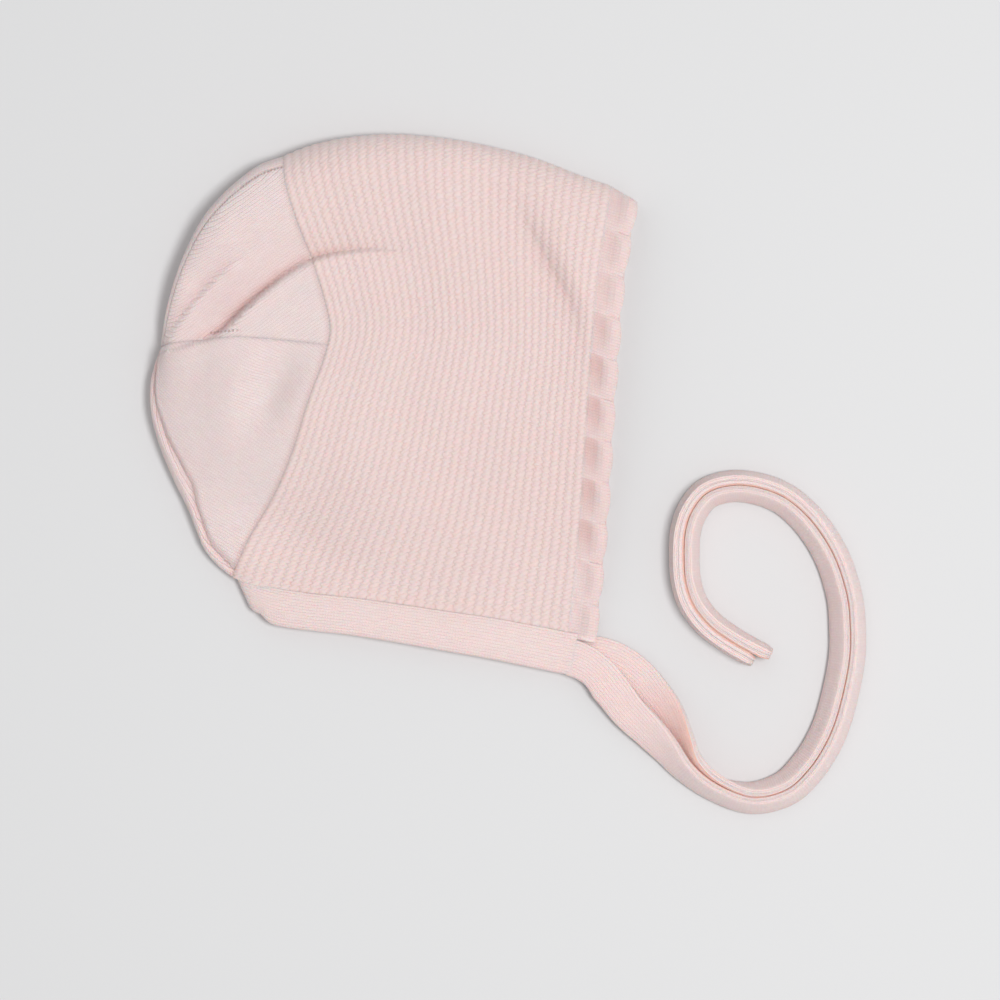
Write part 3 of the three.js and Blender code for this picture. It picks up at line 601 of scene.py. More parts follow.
# Moss stitch: a bead on every second stitch, shifted half a bead from rib to rib. The ribs and
# beads drift a little, each rib is nipped between its beads, and fine strands cross each bead.
RIB_DRIFT = 0.3
BEAD_DRIFT = 0.7
NIP = 0.12
ROUNDNESS = 2.6
RIB_DEPTH = 0.76
BEAD_DEPTH = 0.44
STRANDS = 3
STRAND_SLANT = 1.1
STRAND_DEPTH = 0.05
GROOVE_POWER = 0.6
moss_group, knit, start, end = new_group(
    "Moss stitch", [("Stitches", "Vector", None)], [("Height", "Float"), ("Groove", "Float")]
)
drift = knit.swing(start.outputs["Stitches"], 1.3, 2.0, "2D")
rib, bead = knit.parts(start.outputs["Stitches"])[:2]
rib = knit.sum("MULTIPLY_ADD", drift, RIB_DRIFT, rib)
bead = knit.sum("MULTIPLY_ADD", drift, BEAD_DRIFT, bead)
side_to_side = knit.sum("COSINE", knit.sum("MULTIPLY", rib, math.pi))
up_and_down = knit.sum("COSINE", knit.sum("MULTIPLY", bead, 2 * math.pi))
rib = knit.sum("MULTIPLY_ADD", knit.sum("MULTIPLY", up_and_down, side_to_side), NIP, rib)
centre = knit.sum("SUBTRACT", knit.sum("FRACT", rib), 0.5)
parity = knit.sum("MULTIPLY", knit.sum("MODULO", knit.sum("FLOOR", rib), 2.0), 0.5)
from_middle = knit.sum("ABSOLUTE", knit.sum("MULTIPLY", centre, 2.0))
rib_round = knit.sum("SUBTRACT", 1.0, knit.sum("POWER", from_middle, ROUNDNESS))
turn = knit.sum("ADD", knit.sum("ADD", bead, parity), centre)
bead_centre = knit.sum("SUBTRACT", knit.sum("FRACT", turn), 0.5)
from_bead = knit.sum("ABSOLUTE", knit.sum("MULTIPLY", bead_centre, 2.0))
bead_round = knit.sum("SUBTRACT", 1.0, knit.sum("POWER", from_bead, ROUNDNESS))
rib_height = knit.sum("MULTIPLY_ADD", rib_round, RIB_DEPTH, 1 - RIB_DEPTH)
bead_height = knit.sum("MULTIPLY_ADD", bead_round, BEAD_DEPTH, 1 - BEAD_DEPTH)
body = knit.sum("MULTIPLY", rib_height, bead_height)
slanted = knit.sum("ADD", turn, knit.sum("MULTIPLY", centre, STRAND_SLANT))
strands = knit.sum("SINE", knit.sum("MULTIPLY", slanted, 2 * STRANDS * math.pi))
body = knit.sum("MULTIPLY_ADD", strands, STRAND_DEPTH, body)
raised = knit.sum("POWER", knit.sum("MAXIMUM", body, 0.0), GROOVE_POWER)
knit.put(end.inputs["Height"], body)
knit.put(end.inputs["Groove"], knit.sum("SUBTRACT", 1.0, raised))

# How much painted shade darkens the yarn in its grooves and small holes, how much darker it is
# in clouds and in its fuzz, and how far fuzz and holes change the relief.
GROOVE_PAINTED_SHADE = 0.85
CLOUD_DARK = 0.25
FUZZ_DARK = 0.2
HOLE_PAINTED_SHADE = 0.9
CLOUD_SCALE = 28.0
FUZZ_SCALE = 1800.0
FUZZ_RELIEF = 0.25
HOLE_RELIEF = 1.5


def yarn_material(name, pattern, scale, tint, shade, deep, depth, hole_group=None, holes=()):
    """Matte yarn with painted shade: tint on stitches, shade in grooves and holes, deep in folds and
    creases.
    """
    material = bpy.data.materials.new(name)
    material.use_nodes = True
    material.node_tree.nodes.clear()
    knit = Knit(material.node_tree)
    uv = knit.node("ShaderNodeUVMap", uv_map="Stitches")
    stitches = knit.node("ShaderNodeGroup", node_tree=pattern)
    knit.put(stitches.inputs["Stitches"], knit.stretched(uv.outputs[0], (scale, scale, 1)))
    place = knit.node("ShaderNodeTexCoord").outputs["Object"]
    cloud = knit.swing(place, CLOUD_SCALE, 3.0, "3D")
    fuzz = knit.swing(place, FUZZ_SCALE, 2.0, "3D")
    share = knit.sum("MULTIPLY", stitches.outputs["Groove"], GROOVE_PAINTED_SHADE)
    share = knit.sum("MULTIPLY_ADD", cloud, CLOUD_DARK, share)
    share = knit.sum("MULTIPLY_ADD", fuzz, FUZZ_DARK, share)
    height = knit.sum("MULTIPLY_ADD", fuzz, FUZZ_RELIEF, stitches.outputs["Height"])
    for row_map, away, pitch in holes:
        row = knit.node("ShaderNodeGroup", node_tree=hole_group)
        knit.put(row.inputs["Place"], knit.node("ShaderNodeUVMap", uv_map=row_map).outputs[0])
        row.inputs["Away"].default_value = away
        row.inputs["Pitch"].default_value = pitch
        share = knit.sum("MULTIPLY_ADD", row.outputs["Hole"], HOLE_PAINTED_SHADE, share)
        height = knit.sum("MULTIPLY_ADD", row.outputs["Hole"], -HOLE_RELIEF, height)
    clamped = knit.node("ShaderNodeClamp")
    knit.put(clamped.inputs[0], share)
    color = knit.mix(clamped.outputs[0], tint + (1,), shade + (1,))
    # Painted shade: where the painted shade map is set, the colour is multiplied by the deep colour.
    inside = knit.parts(knit.node("ShaderNodeUVMap", uv_map="Inside").outputs[0])[0]
    color = knit.mix(inside, color, deep + (1,), "MULTIPLY")
    bump = knit.node("ShaderNodeBump")
    bump.inputs["Strength"].default_value = 1.0
    bump.inputs["Distance"].default_value = depth * 0.001
    knit.put(bump.inputs["Height"], height)
    shader = knit.node("ShaderNodeBsdfPrincipled")
    knit.put(shader.inputs["Base Color"], color)
    shader.inputs["Roughness"].default_value = 0.9
    shader.inputs["Specular IOR Level"].default_value = 0.2
    shader.inputs["Sheen Weight"].default_value = 0.15
    shader.inputs["Sheen Roughness"].default_value = 0.5
    shader.inputs["Subsurface Weight"].default_value = 0.6
    shader.inputs["Subsurface Radius"].default_value = (0.004, 0.0018, 0.0012)
    shader.inputs["Subsurface Scale"].default_value = 0.3
    knit.put(shader.inputs["Normal"], bump.outputs[0])
    surface = knit.node("ShaderNodeOutputMaterial")
    knit.put(surface.inputs["Surface"], shader.outputs[0])
    return material


moss_tint = (0.83, 0.68, 0.66)
moss_shade = (0.69, 0.50, 0.465)
# Colour of the painted shade in creases, beside the crown seam and in the scallop channel.
soft_painted_shade = (0.88, 0.76, 0.74)
moss_material = yarn_material("Moss knit", moss_group, 1.0, moss_tint, moss_shade, soft_painted_shade, 0.24)
side_panel.data.materials.append(moss_material)
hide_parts("side_panel")


# Crown
# Four plain-knit wedges that meet at a point at the back of the head, two on each side, joined
# to each other by shaped lines with small holes along them and to the side by a flat seam.

CROWN_WALL = 1.2
CROWN_REACH = 0.985
CROWN_ROWS = 105
CROWN_COLUMNS = 81
WEDGE_SPLIT = 0.56
split = float(way_of(np.array(WEDGE_SPLIT)))
split_length = float(np.linalg.norm(crown_seam.at(np.array(WEDGE_SPLIT)) - crown_tip))

# Small holes run along the rim of the upper wedge, and along part of the line between the wedges.
HOLE_ROW = 3.7
HOLE_PITCH = 1.1
HOLE_LINE = 1.9
HOLE_LINE_START, HOLE_LINE_END = 19, 29
NO_HOLE = 99
# The groove of the rolled rim at the back: height from the neck, way in from the outline.
RIM_GROOVE = [
    (0.115, 2.0), (0.155, 2.8), (0.247, 4.0), (0.308, 6.0), (0.34, 5.8), (0.404, 4.5),
    (0.497, 2.6), (0.573, 1.6),
]
# Low relief along the rims: height, share of the way in to the groove or holes, more, width.
UPPER_RIM_RELIEF = [(-0.1, 1.0, 0.0, 0.7), (0.22, 0.55, 0.0, 1.0)]
LOWER_RIM_RELIEF = [(-0.6, 1.0, 0.0, 1.3), (0.4, 0.45, 0.0, 1.2), (0.15, 1.0, 2.4, 1.3)]
# Low relief along the seams: depth and width of the crown seam, of the line between the wedges,
# and of the crease beside that line with its way off. All of it fades out at the crown's tip and
# at the rim.
SEAM_LINE = (0.12, 0.6)
SPLIT_LINE = (0.12, 0.5)
SPLIT_CREASE = (0.12, 0.5, 2.4)
SPLIT_CREASE_START = 3
TIP_FADE, TIP_FADE_LENGTH = 1.85, 0.12
RIM_FADE = 0.6
# How strong the painted shade is, and how wide: at the seam by the neck and by the top, in the
# rim's groove, and at the line between the wedges.
CROWN_SEAM_SHADE = (0.9, 0.4, 0.7)
GROOVE_SHADOW = (0.6, 1.3)
SPLIT_SHADE = (0.4, 0.6)


def crown_wedge(name, first, last, wale_angle):
    """A wedge from its first way to its last, with its columns of stitches at an angle."""
    low, high = sorted([float(rise_of(np.array(first))), float(rise_of(np.array(last)))])
    rows = []
    for share in np.linspace(0, CROWN_REACH, CROWN_ROWS):
        chord = np.linalg.norm(crown_top.at(np.array(share)) - crown_back.at(np.array(share)))
        margin = 0.4 * GAP / chord * share**4
        margin_low = margin if low > 0.001 else 0
        margin_high = margin if high < 0.999 else 0
        rise = rise_of(np.linspace(first, last, CROWN_COLUMNS))
        rise = np.clip(rise, low + margin_low, high - margin_high)
        way = np.where(first >= 1, 2 - way_of(rise), way_of(rise))
        rows.append((np.broadcast_to(1 + share, rise.shape), way, rise))
    run, way, rise = (np.array([row[k] for row in rows]) for k in range(3))
    upper = "upper" in name
    outer = skin(run, way)
    normal = skin_normal(run, way)
    inner = outer - normal * CROWN_WALL
    ends = (rise <= 1e-6) | (rise >= 1 - 1e-6)
    outer[..., 2] = np.where(ends, FOLD_RADIUS, outer[..., 2])
    inner[..., 2] = np.where(ends, FOLD_RADIUS, inner[..., 2])

    c, s = math.cos(math.radians(wale_angle)), math.sin(math.radians(wale_angle))
    along = outer[..., 0] * c + outer[..., 1] * s
    across = -outer[..., 0] * s + outer[..., 1] * c
    stitches = np.stack([across + outer[..., 2] * 0.5, along], -1)
    chord = np.linalg.norm(crown_top.at(run - 1) - crown_back.at(run - 1), axis=-1)
    from_seam = (run - 1) * split_length
    from_split = np.abs(rise - WEDGE_SPLIT) * chord
    from_rim = (1 - rise if upper else rise) * chord
    along_rim = (run - 1) * (crown_top if upper else crown_back).length
    groove = HOLE_ROW if upper else column(RIM_GROOVE, outer[..., 1] / SIDE_HEIGHT + ORIGIN[1], 1)
    if first < 1:
        relief = -SEAM_LINE[0] * bell(from_seam, SEAM_LINE[1])
        relief = relief - SPLIT_LINE[0] * bell(from_split, SPLIT_LINE[1])
        for height, share, more, width in UPPER_RIM_RELIEF if upper else LOWER_RIM_RELIEF:
            relief = relief + height * bell(from_rim - groove * share - more, width)
        if upper:
            depth, width, off = SPLIT_CREASE
            fade_in = smooth(from_seam / SPLIT_CREASE_START)
            relief = relief - depth * bell(from_split - off, width) * fade_in
        relief = relief * (1 - smooth((run - TIP_FADE) / TIP_FADE_LENGTH))
        relief = relief * smooth(from_rim / RIM_FADE)
        outer = outer + normal * relief[..., None]

    # Painted shade along the crown seam, in the rim's groove, at the line between the wedges and in the
    # creases.
    at_neck, at_top, width = CROWN_SEAM_SHADE
    inside = lerp(at_neck, at_top, rise) * bell(from_seam, width)
    if not upper:
        inside = np.maximum(inside, GROOVE_SHADOW[0] * bell(from_rim - groove, GROOVE_SHADOW[1]))
    inside = np.maximum(inside, SPLIT_SHADE[0] * bell(from_split, SPLIT_SHADE[1]))
    inside = np.maximum(inside, crease_shape(outer[..., :2])[1] * (way < 1))
    up_the_rim = np.hypot(from_rim, outer[..., 2] - FOLD_RADIUS)
    on_rim = (from_rim < groove)[..., None]
    holed = (from_seam > HOLE_LINE_START) & (from_seam < HOLE_LINE_END)
    maps = {
        "Stitches": np.where(on_rim, np.stack([up_the_rim, along_rim], -1), stitches),
        "Rim": np.stack([from_rim, along_rim], -1),
        "Wedge line": np.stack([np.where(holed, from_split, NO_HOLE), from_seam], -1),
        "Inside": as_map(inside),
    }
    # The inner face keeps clear of the creases.
    crease = np.maximum(-crease_height(outer[..., :2]), 0)
    inner[..., 2] -= np.where(way < 1, 0.8 * crease + 0.5 * np.minimum(crease, 1), 0)
    inner = inner[::INNER_STEP, ::INNER_STEP]
    return closed_cloth(name, outer, inner, INNER_STEP, maps)


# A row of small holes, set a fixed way in from an edge.
HOLE_ACROSS = 0.42
HOLE_ALONG = 0.38
hole_group, knit, start, end = new_group(
    "Row of holes",
    [("Place", "Vector", None), ("Away", "Float", 1.0), ("Pitch", "Float", 1.0)],
    [("Hole", "Float")],
)
from_edge, along_edge = knit.parts(start.outputs["Place"])[:2]
pitch = start.outputs["Pitch"]
off = knit.sum("DIVIDE", knit.sum("SUBTRACT", from_edge, start.outputs["Away"]), HOLE_ACROSS)
step = knit.sum("SUBTRACT", knit.sum("FRACT", knit.sum("DIVIDE", along_edge, pitch)), 0.5)
step = knit.sum("MULTIPLY", step, knit.sum("DIVIDE", pitch, HOLE_ALONG))
reach = knit.sum("ADD", knit.sum("MULTIPLY", off, off), knit.sum("MULTIPLY", step, step))
knit.put(end.inputs["Hole"], knit.sum("MAXIMUM", knit.sum("SUBTRACT", 1.0, reach), 0.0))

# Plain knit: columns of small V stitches that drift a little, with faint streaks along them.
WALE_DRIFT = 0.5
COURSE_DRIFT = 0.6
V_SLANT = 0.55
V_DEPTH = 0.3
V_NOTCH = 0.4
STREAK = 0.7
plain_group, knit, start, end = new_group(
    "Plain knit", [("Stitches", "Vector", None)], [("Height", "Float"), ("Groove", "Float")]
)
drift = knit.swing(start.outputs["Stitches"], 0.35, 2.0, "2D")
wale, course = knit.parts(start.outputs["Stitches"])[:2]
wale = knit.sum("MULTIPLY_ADD", drift, WALE_DRIFT, wale)
course = knit.sum("MULTIPLY_ADD", drift, COURSE_DRIFT, course)
centre = knit.sum("SUBTRACT", knit.sum("FRACT", wale), 0.5)
arm = knit.sum("ABSOLUTE", knit.sum("MULTIPLY", centre, 2.0))
fall = knit.sum("MAXIMUM", knit.sum("SUBTRACT", 1.0, knit.sum("POWER", arm, 3.0)), 0.0)
column_round = knit.sum("SQRT", fall)
notch = knit.sum("POWER", knit.sum("SUBTRACT", 1.0, arm), 6.0)
dip = knit.sum("SUBTRACT", 1.0, knit.sum("MULTIPLY", notch, V_NOTCH))
slant = knit.sum("MULTIPLY_ADD", arm, V_SLANT, course)
wave = knit.sum("COSINE", knit.sum("MULTIPLY", slant, 2 * math.pi))
wave = knit.sum("MULTIPLY_ADD", wave, V_DEPTH / 2, 1 - V_DEPTH / 2)
body = knit.sum("MULTIPLY", knit.sum("MULTIPLY", column_round, dip), wave)
streak = knit.swing(knit.stretched(start.outputs["Stitches"], (0.6, 0.05, 1)), 5.0, 3.0, "2D")
groove = knit.sum("MULTIPLY_ADD", streak, STREAK, knit.sum("SUBTRACT", 1.0, body))
knit.put(end.inputs["Height"], body)
knit.put(end.inputs["Groove"], groove)

crown_pieces = [
    ("crown_upper_near", split, 1.0, 35),
    ("crown_lower_near", 0.0, split, -33),
    ("crown_upper_far", 1.0, 2 - split, 35),
    ("crown_lower_far", 2 - split, 2.0, -33),
]
crown_tint = (0.975, 0.825, 0.815)
crown_shade = (0.77, 0.575, 0.555)
# Colour of the painted shade on the crown.
crown_painted_shade = (0.86, 0.72, 0.70)
crown_look = (plain_group, 1.05, crown_tint, crown_shade, crown_painted_shade, 0.34)
hole_rows = [("Rim", HOLE_ROW, HOLE_PITCH), ("Wedge line", HOLE_LINE, HOLE_PITCH)]
upper_material = yarn_material("Plain knit, upper wedge", *crown_look, hole_group, hole_rows)
lower_material = yarn_material("Plain knit, lower wedge", *crown_look)
for node_name, first, last, wale_angle in crown_pieces:
    wedge = crown_wedge(node_name + "_knit", first, last, wale_angle)
    wedge.data.materials.append(upper_material if "upper" in node_name else lower_material)
    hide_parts(node_name)


# Scalloped edge
# A strip of plain knit folded double, sewn round the whole face edge and drawn in by a stitch
# about every 13 mm, so that it stands in scallops.

EDGE_WIDTH = 9.4
SCALLOP_DEPTH = 1.5
SCALLOP_PITCH = 12.95
FIRST_PHASE = 0.17
PER_SCALLOP = 24
LOWER_INSET = 0.6
START_LAP = 0.9
START_STEP = 40
EDGE_FIRST_WAY, EDGE_LAST_WAY = 0.02, 1.94
SCALLOP_LEAN = 1.5
SCALLOP_SQUARENESS = 0.45
FOLD_SPREAD = 0.055
edge_ways = np.linspace(EDGE_FIRST_WAY, EDGE_LAST_WAY, 1600)
edge_points = skin(0.0, edge_ways)
edge_lengths = lengths_along(edge_points)
# The stations lie closer together at the notches between the scallops.
turn = np.arange(PER_SCALLOP) / PER_SCALLOP
turn = turn - 0.5 * np.sin(2 * np.pi * turn) / (2 * np.pi)
last_phase = FIRST_PHASE + edge_lengths[-1] / SCALLOP_PITCH
phases = (np.arange(math.ceil(last_phase))[:, None] + turn).ravel()
phases = phases[(phases > FIRST_PHASE + 0.01) & (phases < last_phase - 0.01)]
phases = np.concatenate([[FIRST_PHASE], phases, [last_phase]])
places = (phases - FIRST_PHASE) * SCALLOP_PITCH
edge_way = np.interp(places, edge_lengths, edge_ways)
edge_rise = rise_of(edge_way)
seam_run, beside_run = np.zeros_like(edge_rise), np.full_like(edge_rise, 0.02)
edge_out = unit(plan(seam_run, edge_rise) - plan(beside_run, edge_rise))
edge_out = np.concatenate([edge_out, np.zeros((len(places), 1))], -1)
edge_normal = skin_normal(np.full_like(edge_way, 0.004), edge_way)
# Each scallop is fullest past its middle and ends in a short step at its top. At the top fold the
# edge is plain and points a little down.
swell = np.sin(np.pi * (phases % 1) ** SCALLOP_LEAN)
fullness = np.maximum(swell, 0) ** SCALLOP_SQUARENESS
at_fold = np.exp(-(((edge_way - 1) / FOLD_SPREAD) ** 4))
edge_out = unit(edge_out + at_fold[:, None] * np.array([0, -0.25, 0]))
fullness = np.maximum(fullness, at_fold)
crest = EDGE_WIDTH - SCALLOP_DEPTH * (1 - fullness) - np.where(edge_way > 1, LOWER_INSET, 0)
base = skin(seam_run, edge_way)
# Way out from the seam, height where the scallop is full, height at a notch, wall.
EDGE_PROFILE = [
    (0.0, -0.5, -0.5, 0.9), (0.06, -0.95, -0.7, 1.0), (0.25, -0.95, -0.3, 1.1),
    (0.4, -0.6, -0.35, 1.3), (0.52, 0.2, -0.5, 1.9), (0.68, 0.85, -0.7, 2.2),
    (0.84, 0.75, -0.85, 2.1), (0.93, 0.15, -0.9, 1.7), (1.0, -0.7, -1.1, 0.84),
]
profile_out = np.concatenate([np.linspace(0, 0.88, 18), [0.92, 0.955, 0.98, 1.0]])
edge_outer, edge_inner, edge_stitches = [], [], []
for share in profile_out:
    full_top, notch_top, wall = (float(column(EDGE_PROFILE, share, k)) for k in (1, 2, 3))
    raised = lerp(lerp(notch_top, full_top, fullness), 0, at_fold)
    raised = np.where((edge_way > 1) & (edge_way < 1.999), np.minimum(raised, 0), raised)
    thick = wall * (lerp(0.6, 1, fullness) if 0.3 < share < 0.85 else 1)
    reach = share * crest
    outer_row = base + edge_out * reach[:, None] + edge_normal * raised[:, None]
    outer_row[:, 2] = np.maximum(outer_row[:, 2], 0)
    outer_row[0, :2] += unit(edge_points[0] - edge_points[START_STEP])[:2] * START_LAP
    edge_outer.append(outer_row)
    edge_inner.append(outer_row - edge_normal * np.broadcast_to(thick, crest.shape)[:, None])
    edge_stitches.append(np.stack([places, reach], -1))
edge_outer, edge_inner, edge_stitches = (
    np.array(rows).transpose(1, 0, 2) for rows in (edge_outer, edge_inner, edge_stitches)
)
# The channel between the last rib and the scallops gets painted shade where a scallop stands full.
# The shade begins a little above the neck and is fainter towards the top.
CHANNEL_END = 5.0
CHANNEL_BLUR = 1.6
CHANNEL_START = 0.12
FAINT_START = 0.6
FAINT = 0.35
channel_shade = smooth((edge_rise - CHANNEL_START) / CHANNEL_START)
channel_shade = channel_shade * lerp(1, FAINT, smooth((edge_rise - FAINT_START) / 0.2))
channel_shade = channel_shade * fullness * lerp(FAINT, 1, phases % 1)
channel_shade_mask = smooth((CHANNEL_END - edge_stitches[..., 1]) / CHANNEL_BLUR) * channel_shade[:, None]
edge_maps = {"Stitches": edge_stitches, "Inside": as_map(channel_shade_mask)}
scallop_edge = closed_cloth("scallop_edge_knit", edge_outer, edge_inner, 1, edge_maps)
edge_tint = (0.88, 0.73, 0.715)
edge_shade = (0.75, 0.565, 0.545)
edge_material = yarn_material("Edge knit", plain_group, 1.1, edge_tint, edge_shade, soft_painted_shade, 0.2)
scallop_edge.data.materials.append(edge_material)
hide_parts("scallop_edge")


# Neck band
# A strip of plain knit folded lengthwise over the neck edge, from one front corner round the
# nape to the other; its fold is at the outside.

BAND_OVERHANG = 3.0
BAND_LAP = 0.9
BAND_END = 0.955
BAND_STATIONS = 70
NAPE_STATIONS = 16
# The faces of the section that lie inside the fold, and how much painted shade they get.
SHADED_FOLD_FACES = {13: 1, 14: 1, 15: 1}
FOLD_SHADE_START = 0.07
FOLD_SHADE_BLUR = 0.09


def fold_section(width, thickness, slot_width, slot_depth):
    """The section of a strip folded lengthwise, with its two cut edges at 0 and its fold out."""
    half, slot = thickness / 2, slot_width / 2
    turn = min(0.9, half * 0.6)
    upper = [
        (0, half - 0.35), (0.3, half), (width * 0.3, half), (width * 0.6, half),
        (width - turn * 1.6, half), (width - turn * 0.45, half * 0.62),
    ]
    lower = [(out, -height) for out, height in reversed(upper)]
    slot_walls = [(0, -slot), (slot_depth, -slot), (slot_depth, slot), (0, slot)]
    return np.array(upper + [(width, 0)] + lower + slot_walls)


def swept_strip(name, sections, lengths, around, inside):
    """A closed strip through like sections; around is the way round, inside the painted shade of each
    face.
    """
    count = sections.shape[1]
    points = sections.reshape(-1, 3) * 0.001
    faces, stitches, painted_shades = [], [], []
    for s in range(len(sections) - 1):
        fade = float(smooth((lengths[s] / lengths[-1] - FOLD_SHADE_START) / FOLD_SHADE_BLUR))
        for i in range(count):
            j = (i + 1) % count
            faces.append([s * count + i, (s + 1) * count + i, (s + 1) * count + j, s * count + j])
            stitches += [
                (around[i], lengths[s]), (around[i], lengths[s + 1]),
                (around[i + 1], lengths[s + 1]), (around[i + 1], lengths[s]),
            ]
            painted_shades += [(inside.get(i, 0) * fade, 0)] * 4
    last = (len(sections) - 1) * count
    faces.append(list(range(count)))
    stitches += [(around[i], lengths[0]) for i in range(count)]
    faces.append([last + i for i in range(count)][::-1])
    stitches += [(around[i], lengths[-1]) for i in range(count)][::-1]
    mesh = bpy.data.meshes.new(name)
    mesh.from_pydata(points.tolist(), [], faces)
    painted_shades += [(0, 0)] * (count * 2)
    for map_name, values in (("Stitches", stitches), ("Inside", painted_shades)):
        layer = mesh.uv_layers.new(name=map_name)
        layer.data.foreach_set("uv", np.array(values, dtype=float).ravel())
    return knitted(name, mesh)


def way_round(section):
    return lengths_along(np.vstack([section, section[:1]]))


def neck_frame(run):
    """Place, way across, way along and width of the band at a share of the neck seam."""
    inside = min(max(run, 0), 1)
    tangent = neck_seam.tangent(np.array(inside))
    point = neck_seam.at(np.array(inside)) + tangent * (run - inside) * neck_seam.length
    width = lerp(BAND_WIDTH_FRONT, BAND_WIDTH_BACK, smooth(inside * 1.4))
    return point, across_band(np.array(inside)), tangent, width


slot_depth = BAND_WIDTH_BACK - BAND_CLOTH - 0.6
band_flat = fold_section(BAND_WIDTH_BACK, BAND_THICKNESS, BAND_SLOT, slot_depth)


def band_section(frame_at, height, way, shift=np.zeros(3)):
    point, across, tangent, width = frame_at
    centre = np.array([point[0], point[1], height]) + shift
    out = np.array([across[0], across[1], 0])
    scale = width / BAND_WIDTH_BACK
    return centre + (-BAND_LAP + band_flat[:, :1] * scale) * out + band_flat[:, 1:] * way


up = np.array([0, 0, 1.0])
first_run = -BAND_OVERHANG / neck_seam.length
stations = [lerp(first_run, BAND_END, i / BAND_STATIONS) for i in range(BAND_STATIONS + 1)]
sections = []
for run in stations:
    sections.append(band_section(neck_frame(run), UPPER_BAND_MIDDLE + float(neck_arch(run)), up))
nape = neck_frame(BAND_END)
outward = np.array([nape[2][0], nape[2][1], 0])
middle = (UPPER_BAND_MIDDLE + LOWER_BAND_MIDDLE) / 2
radius = (UPPER_BAND_MIDDLE - LOWER_BAND_MIDDLE) / 2
for i in range(1, NAPE_STATIONS):
    angle = math.pi * i / NAPE_STATIONS
    way = outward * math.sin(angle) + up * math.cos(angle)
    sections.append(band_section(nape, middle, way, way * radius))
for run in reversed(stations):
    sections.append(band_section(neck_frame(run), LOWER_BAND_MIDDLE, -up))
sections = np.array(sections)
lengths = lengths_along(sections.mean(axis=1))
neck_band = swept_strip("neck_band_knit", sections, lengths, way_round(band_flat), SHADED_FOLD_FACES)
band_tint = (0.95, 0.77, 0.75)
band_shade = (0.81, 0.59, 0.565)
# Colour of the painted shade inside the folds of the band and of the ties.
fold_painted_shade = (0.97, 0.72, 0.62)
band_material = yarn_material("Band knit", plain_group, 1.1, band_tint, band_shade, fold_painted_shade, 0.22)
neck_band.data.materials.append(band_material)
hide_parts("neck_band")


# Ties
# Two strips of plain knit, each folded lengthwise, that carry on from the ends of the neck band
# and lie together in one curl, standing on their folds.

TIE_LENGTH = 279.0
TIE_WIDTH = 11.0
TIE_THICKNESS = 2.4
TIE_SLOT_DEPTH = 4.0
TIE_SLOT_WIDTH = 0.06
TIE_STATIONS = 300
TIE_SPAN_SAMPLES = 60
TIE_LAP = 1.5
START_TURN = 0.05
TIP_START = 0.988
TIP_TAPER = 0.25
NEAR_TIE_END = 0.986
# The way both ties take together from the front corner, in shares of TIE_LENGTH.
TIE_ROUTE = [
    (0.0, 0.0), (0.018, -0.005), (0.036, -0.015), (0.054, -0.031), (0.07, -0.05), (0.088, -0.07),
    (0.1075, -0.094), (0.1285, -0.119), (0.159, -0.141), (0.2, -0.155), (0.2375, -0.146),
    (0.2625, -0.123), (0.28, -0.096), (0.2915, -0.069), (0.3035, -0.021), (0.3075, 0.008),
    (0.3075, 0.035), (0.3055, 0.062), (0.3005, 0.084), (0.2915, 0.11), (0.278, 0.135),
    (0.2575, 0.161), (0.233, 0.1805), (0.204, 0.191), (0.174, 0.193), (0.147, 0.184),
    (0.1305, 0.163), (0.1235, 0.14), (0.1225, 0.113), (0.1245, 0.085), (0.133, 0.06),
    (0.151, 0.037), (0.174, 0.02), (0.196, 0.007), (0.216, -0.003),
]
# How each tie lies along that way: at which share of it, how far to the left, how far it is
# turned up on its fold in degrees, how high it is lifted, and its width and thickness.
NEAR_TIE_LAY = [
    (0.0, 0.05, 0, 1.3, 1.02, 1.2), (0.03, -0.2, 2, 1.28, 1.12, 1.1),
    (0.06, -0.33, 4, 1.2, 1.06, 1.0), (0.1, -0.355, 10, 0.9, 1.0, 1.0),
    (0.14, -0.24, 35, 0.3, 1.0, 1.0), (0.168, -0.24, 56, 0.05, 1.0, 1.0),
    (0.2, -0.245, 67, 0.0, 1.0, 1.0), (0.24, -0.24, 68, 0.0, 1.0, 1.0),
    (0.32, -0.24, 68, 0.0, 1.0, 0.97), (0.5, -0.24, 70, 0.0, 1.0, 0.97),
    (0.68, -0.21, 78, 0.0, 0.95, 1.25), (0.85, -0.22, 84, 0.0, 0.92, 1.4),
    (1.0, -0.2, 84, 0.0, 0.85, 1.4),
]
FAR_TIE_LAY = [
    (0.0, 0.06, 0, 0.0, 1.08, 1.2), (0.03, 0.34, 2, 0.0, 1.06, 1.1), (0.06, 0.53, 4, 0.0, 1.0, 1.0),
    (0.1, 0.54, 15, 0.0, 1.0, 1.0), (0.14, 0.36, 38, 0.0, 1.0, 1.0),
    (0.17, 0.12, 57, 0.0, 1.0, 1.1), (0.195, 0.08, 72, 0.0, 1.0, 1.2),
    (0.22, 0.145, 86, 0.0, 1.0, 1.1), (0.24, 0.196, 96, 0.0, 1.0, 1.05),
    (0.27, 0.27, 106, 0.0, 1.0, 1.0), (0.32, 0.316, 112, 0.0, 1.0, 0.97),
    (0.5, 0.31, 114, 0.0, 1.0, 0.97), (0.68, 0.272, 110, 0.0, 0.95, 1.0),
    (0.85, 0.228, 108, 0.0, 0.92, 1.1), (1.0, 0.218, 100, 0.0, 0.85, 1.4),
]


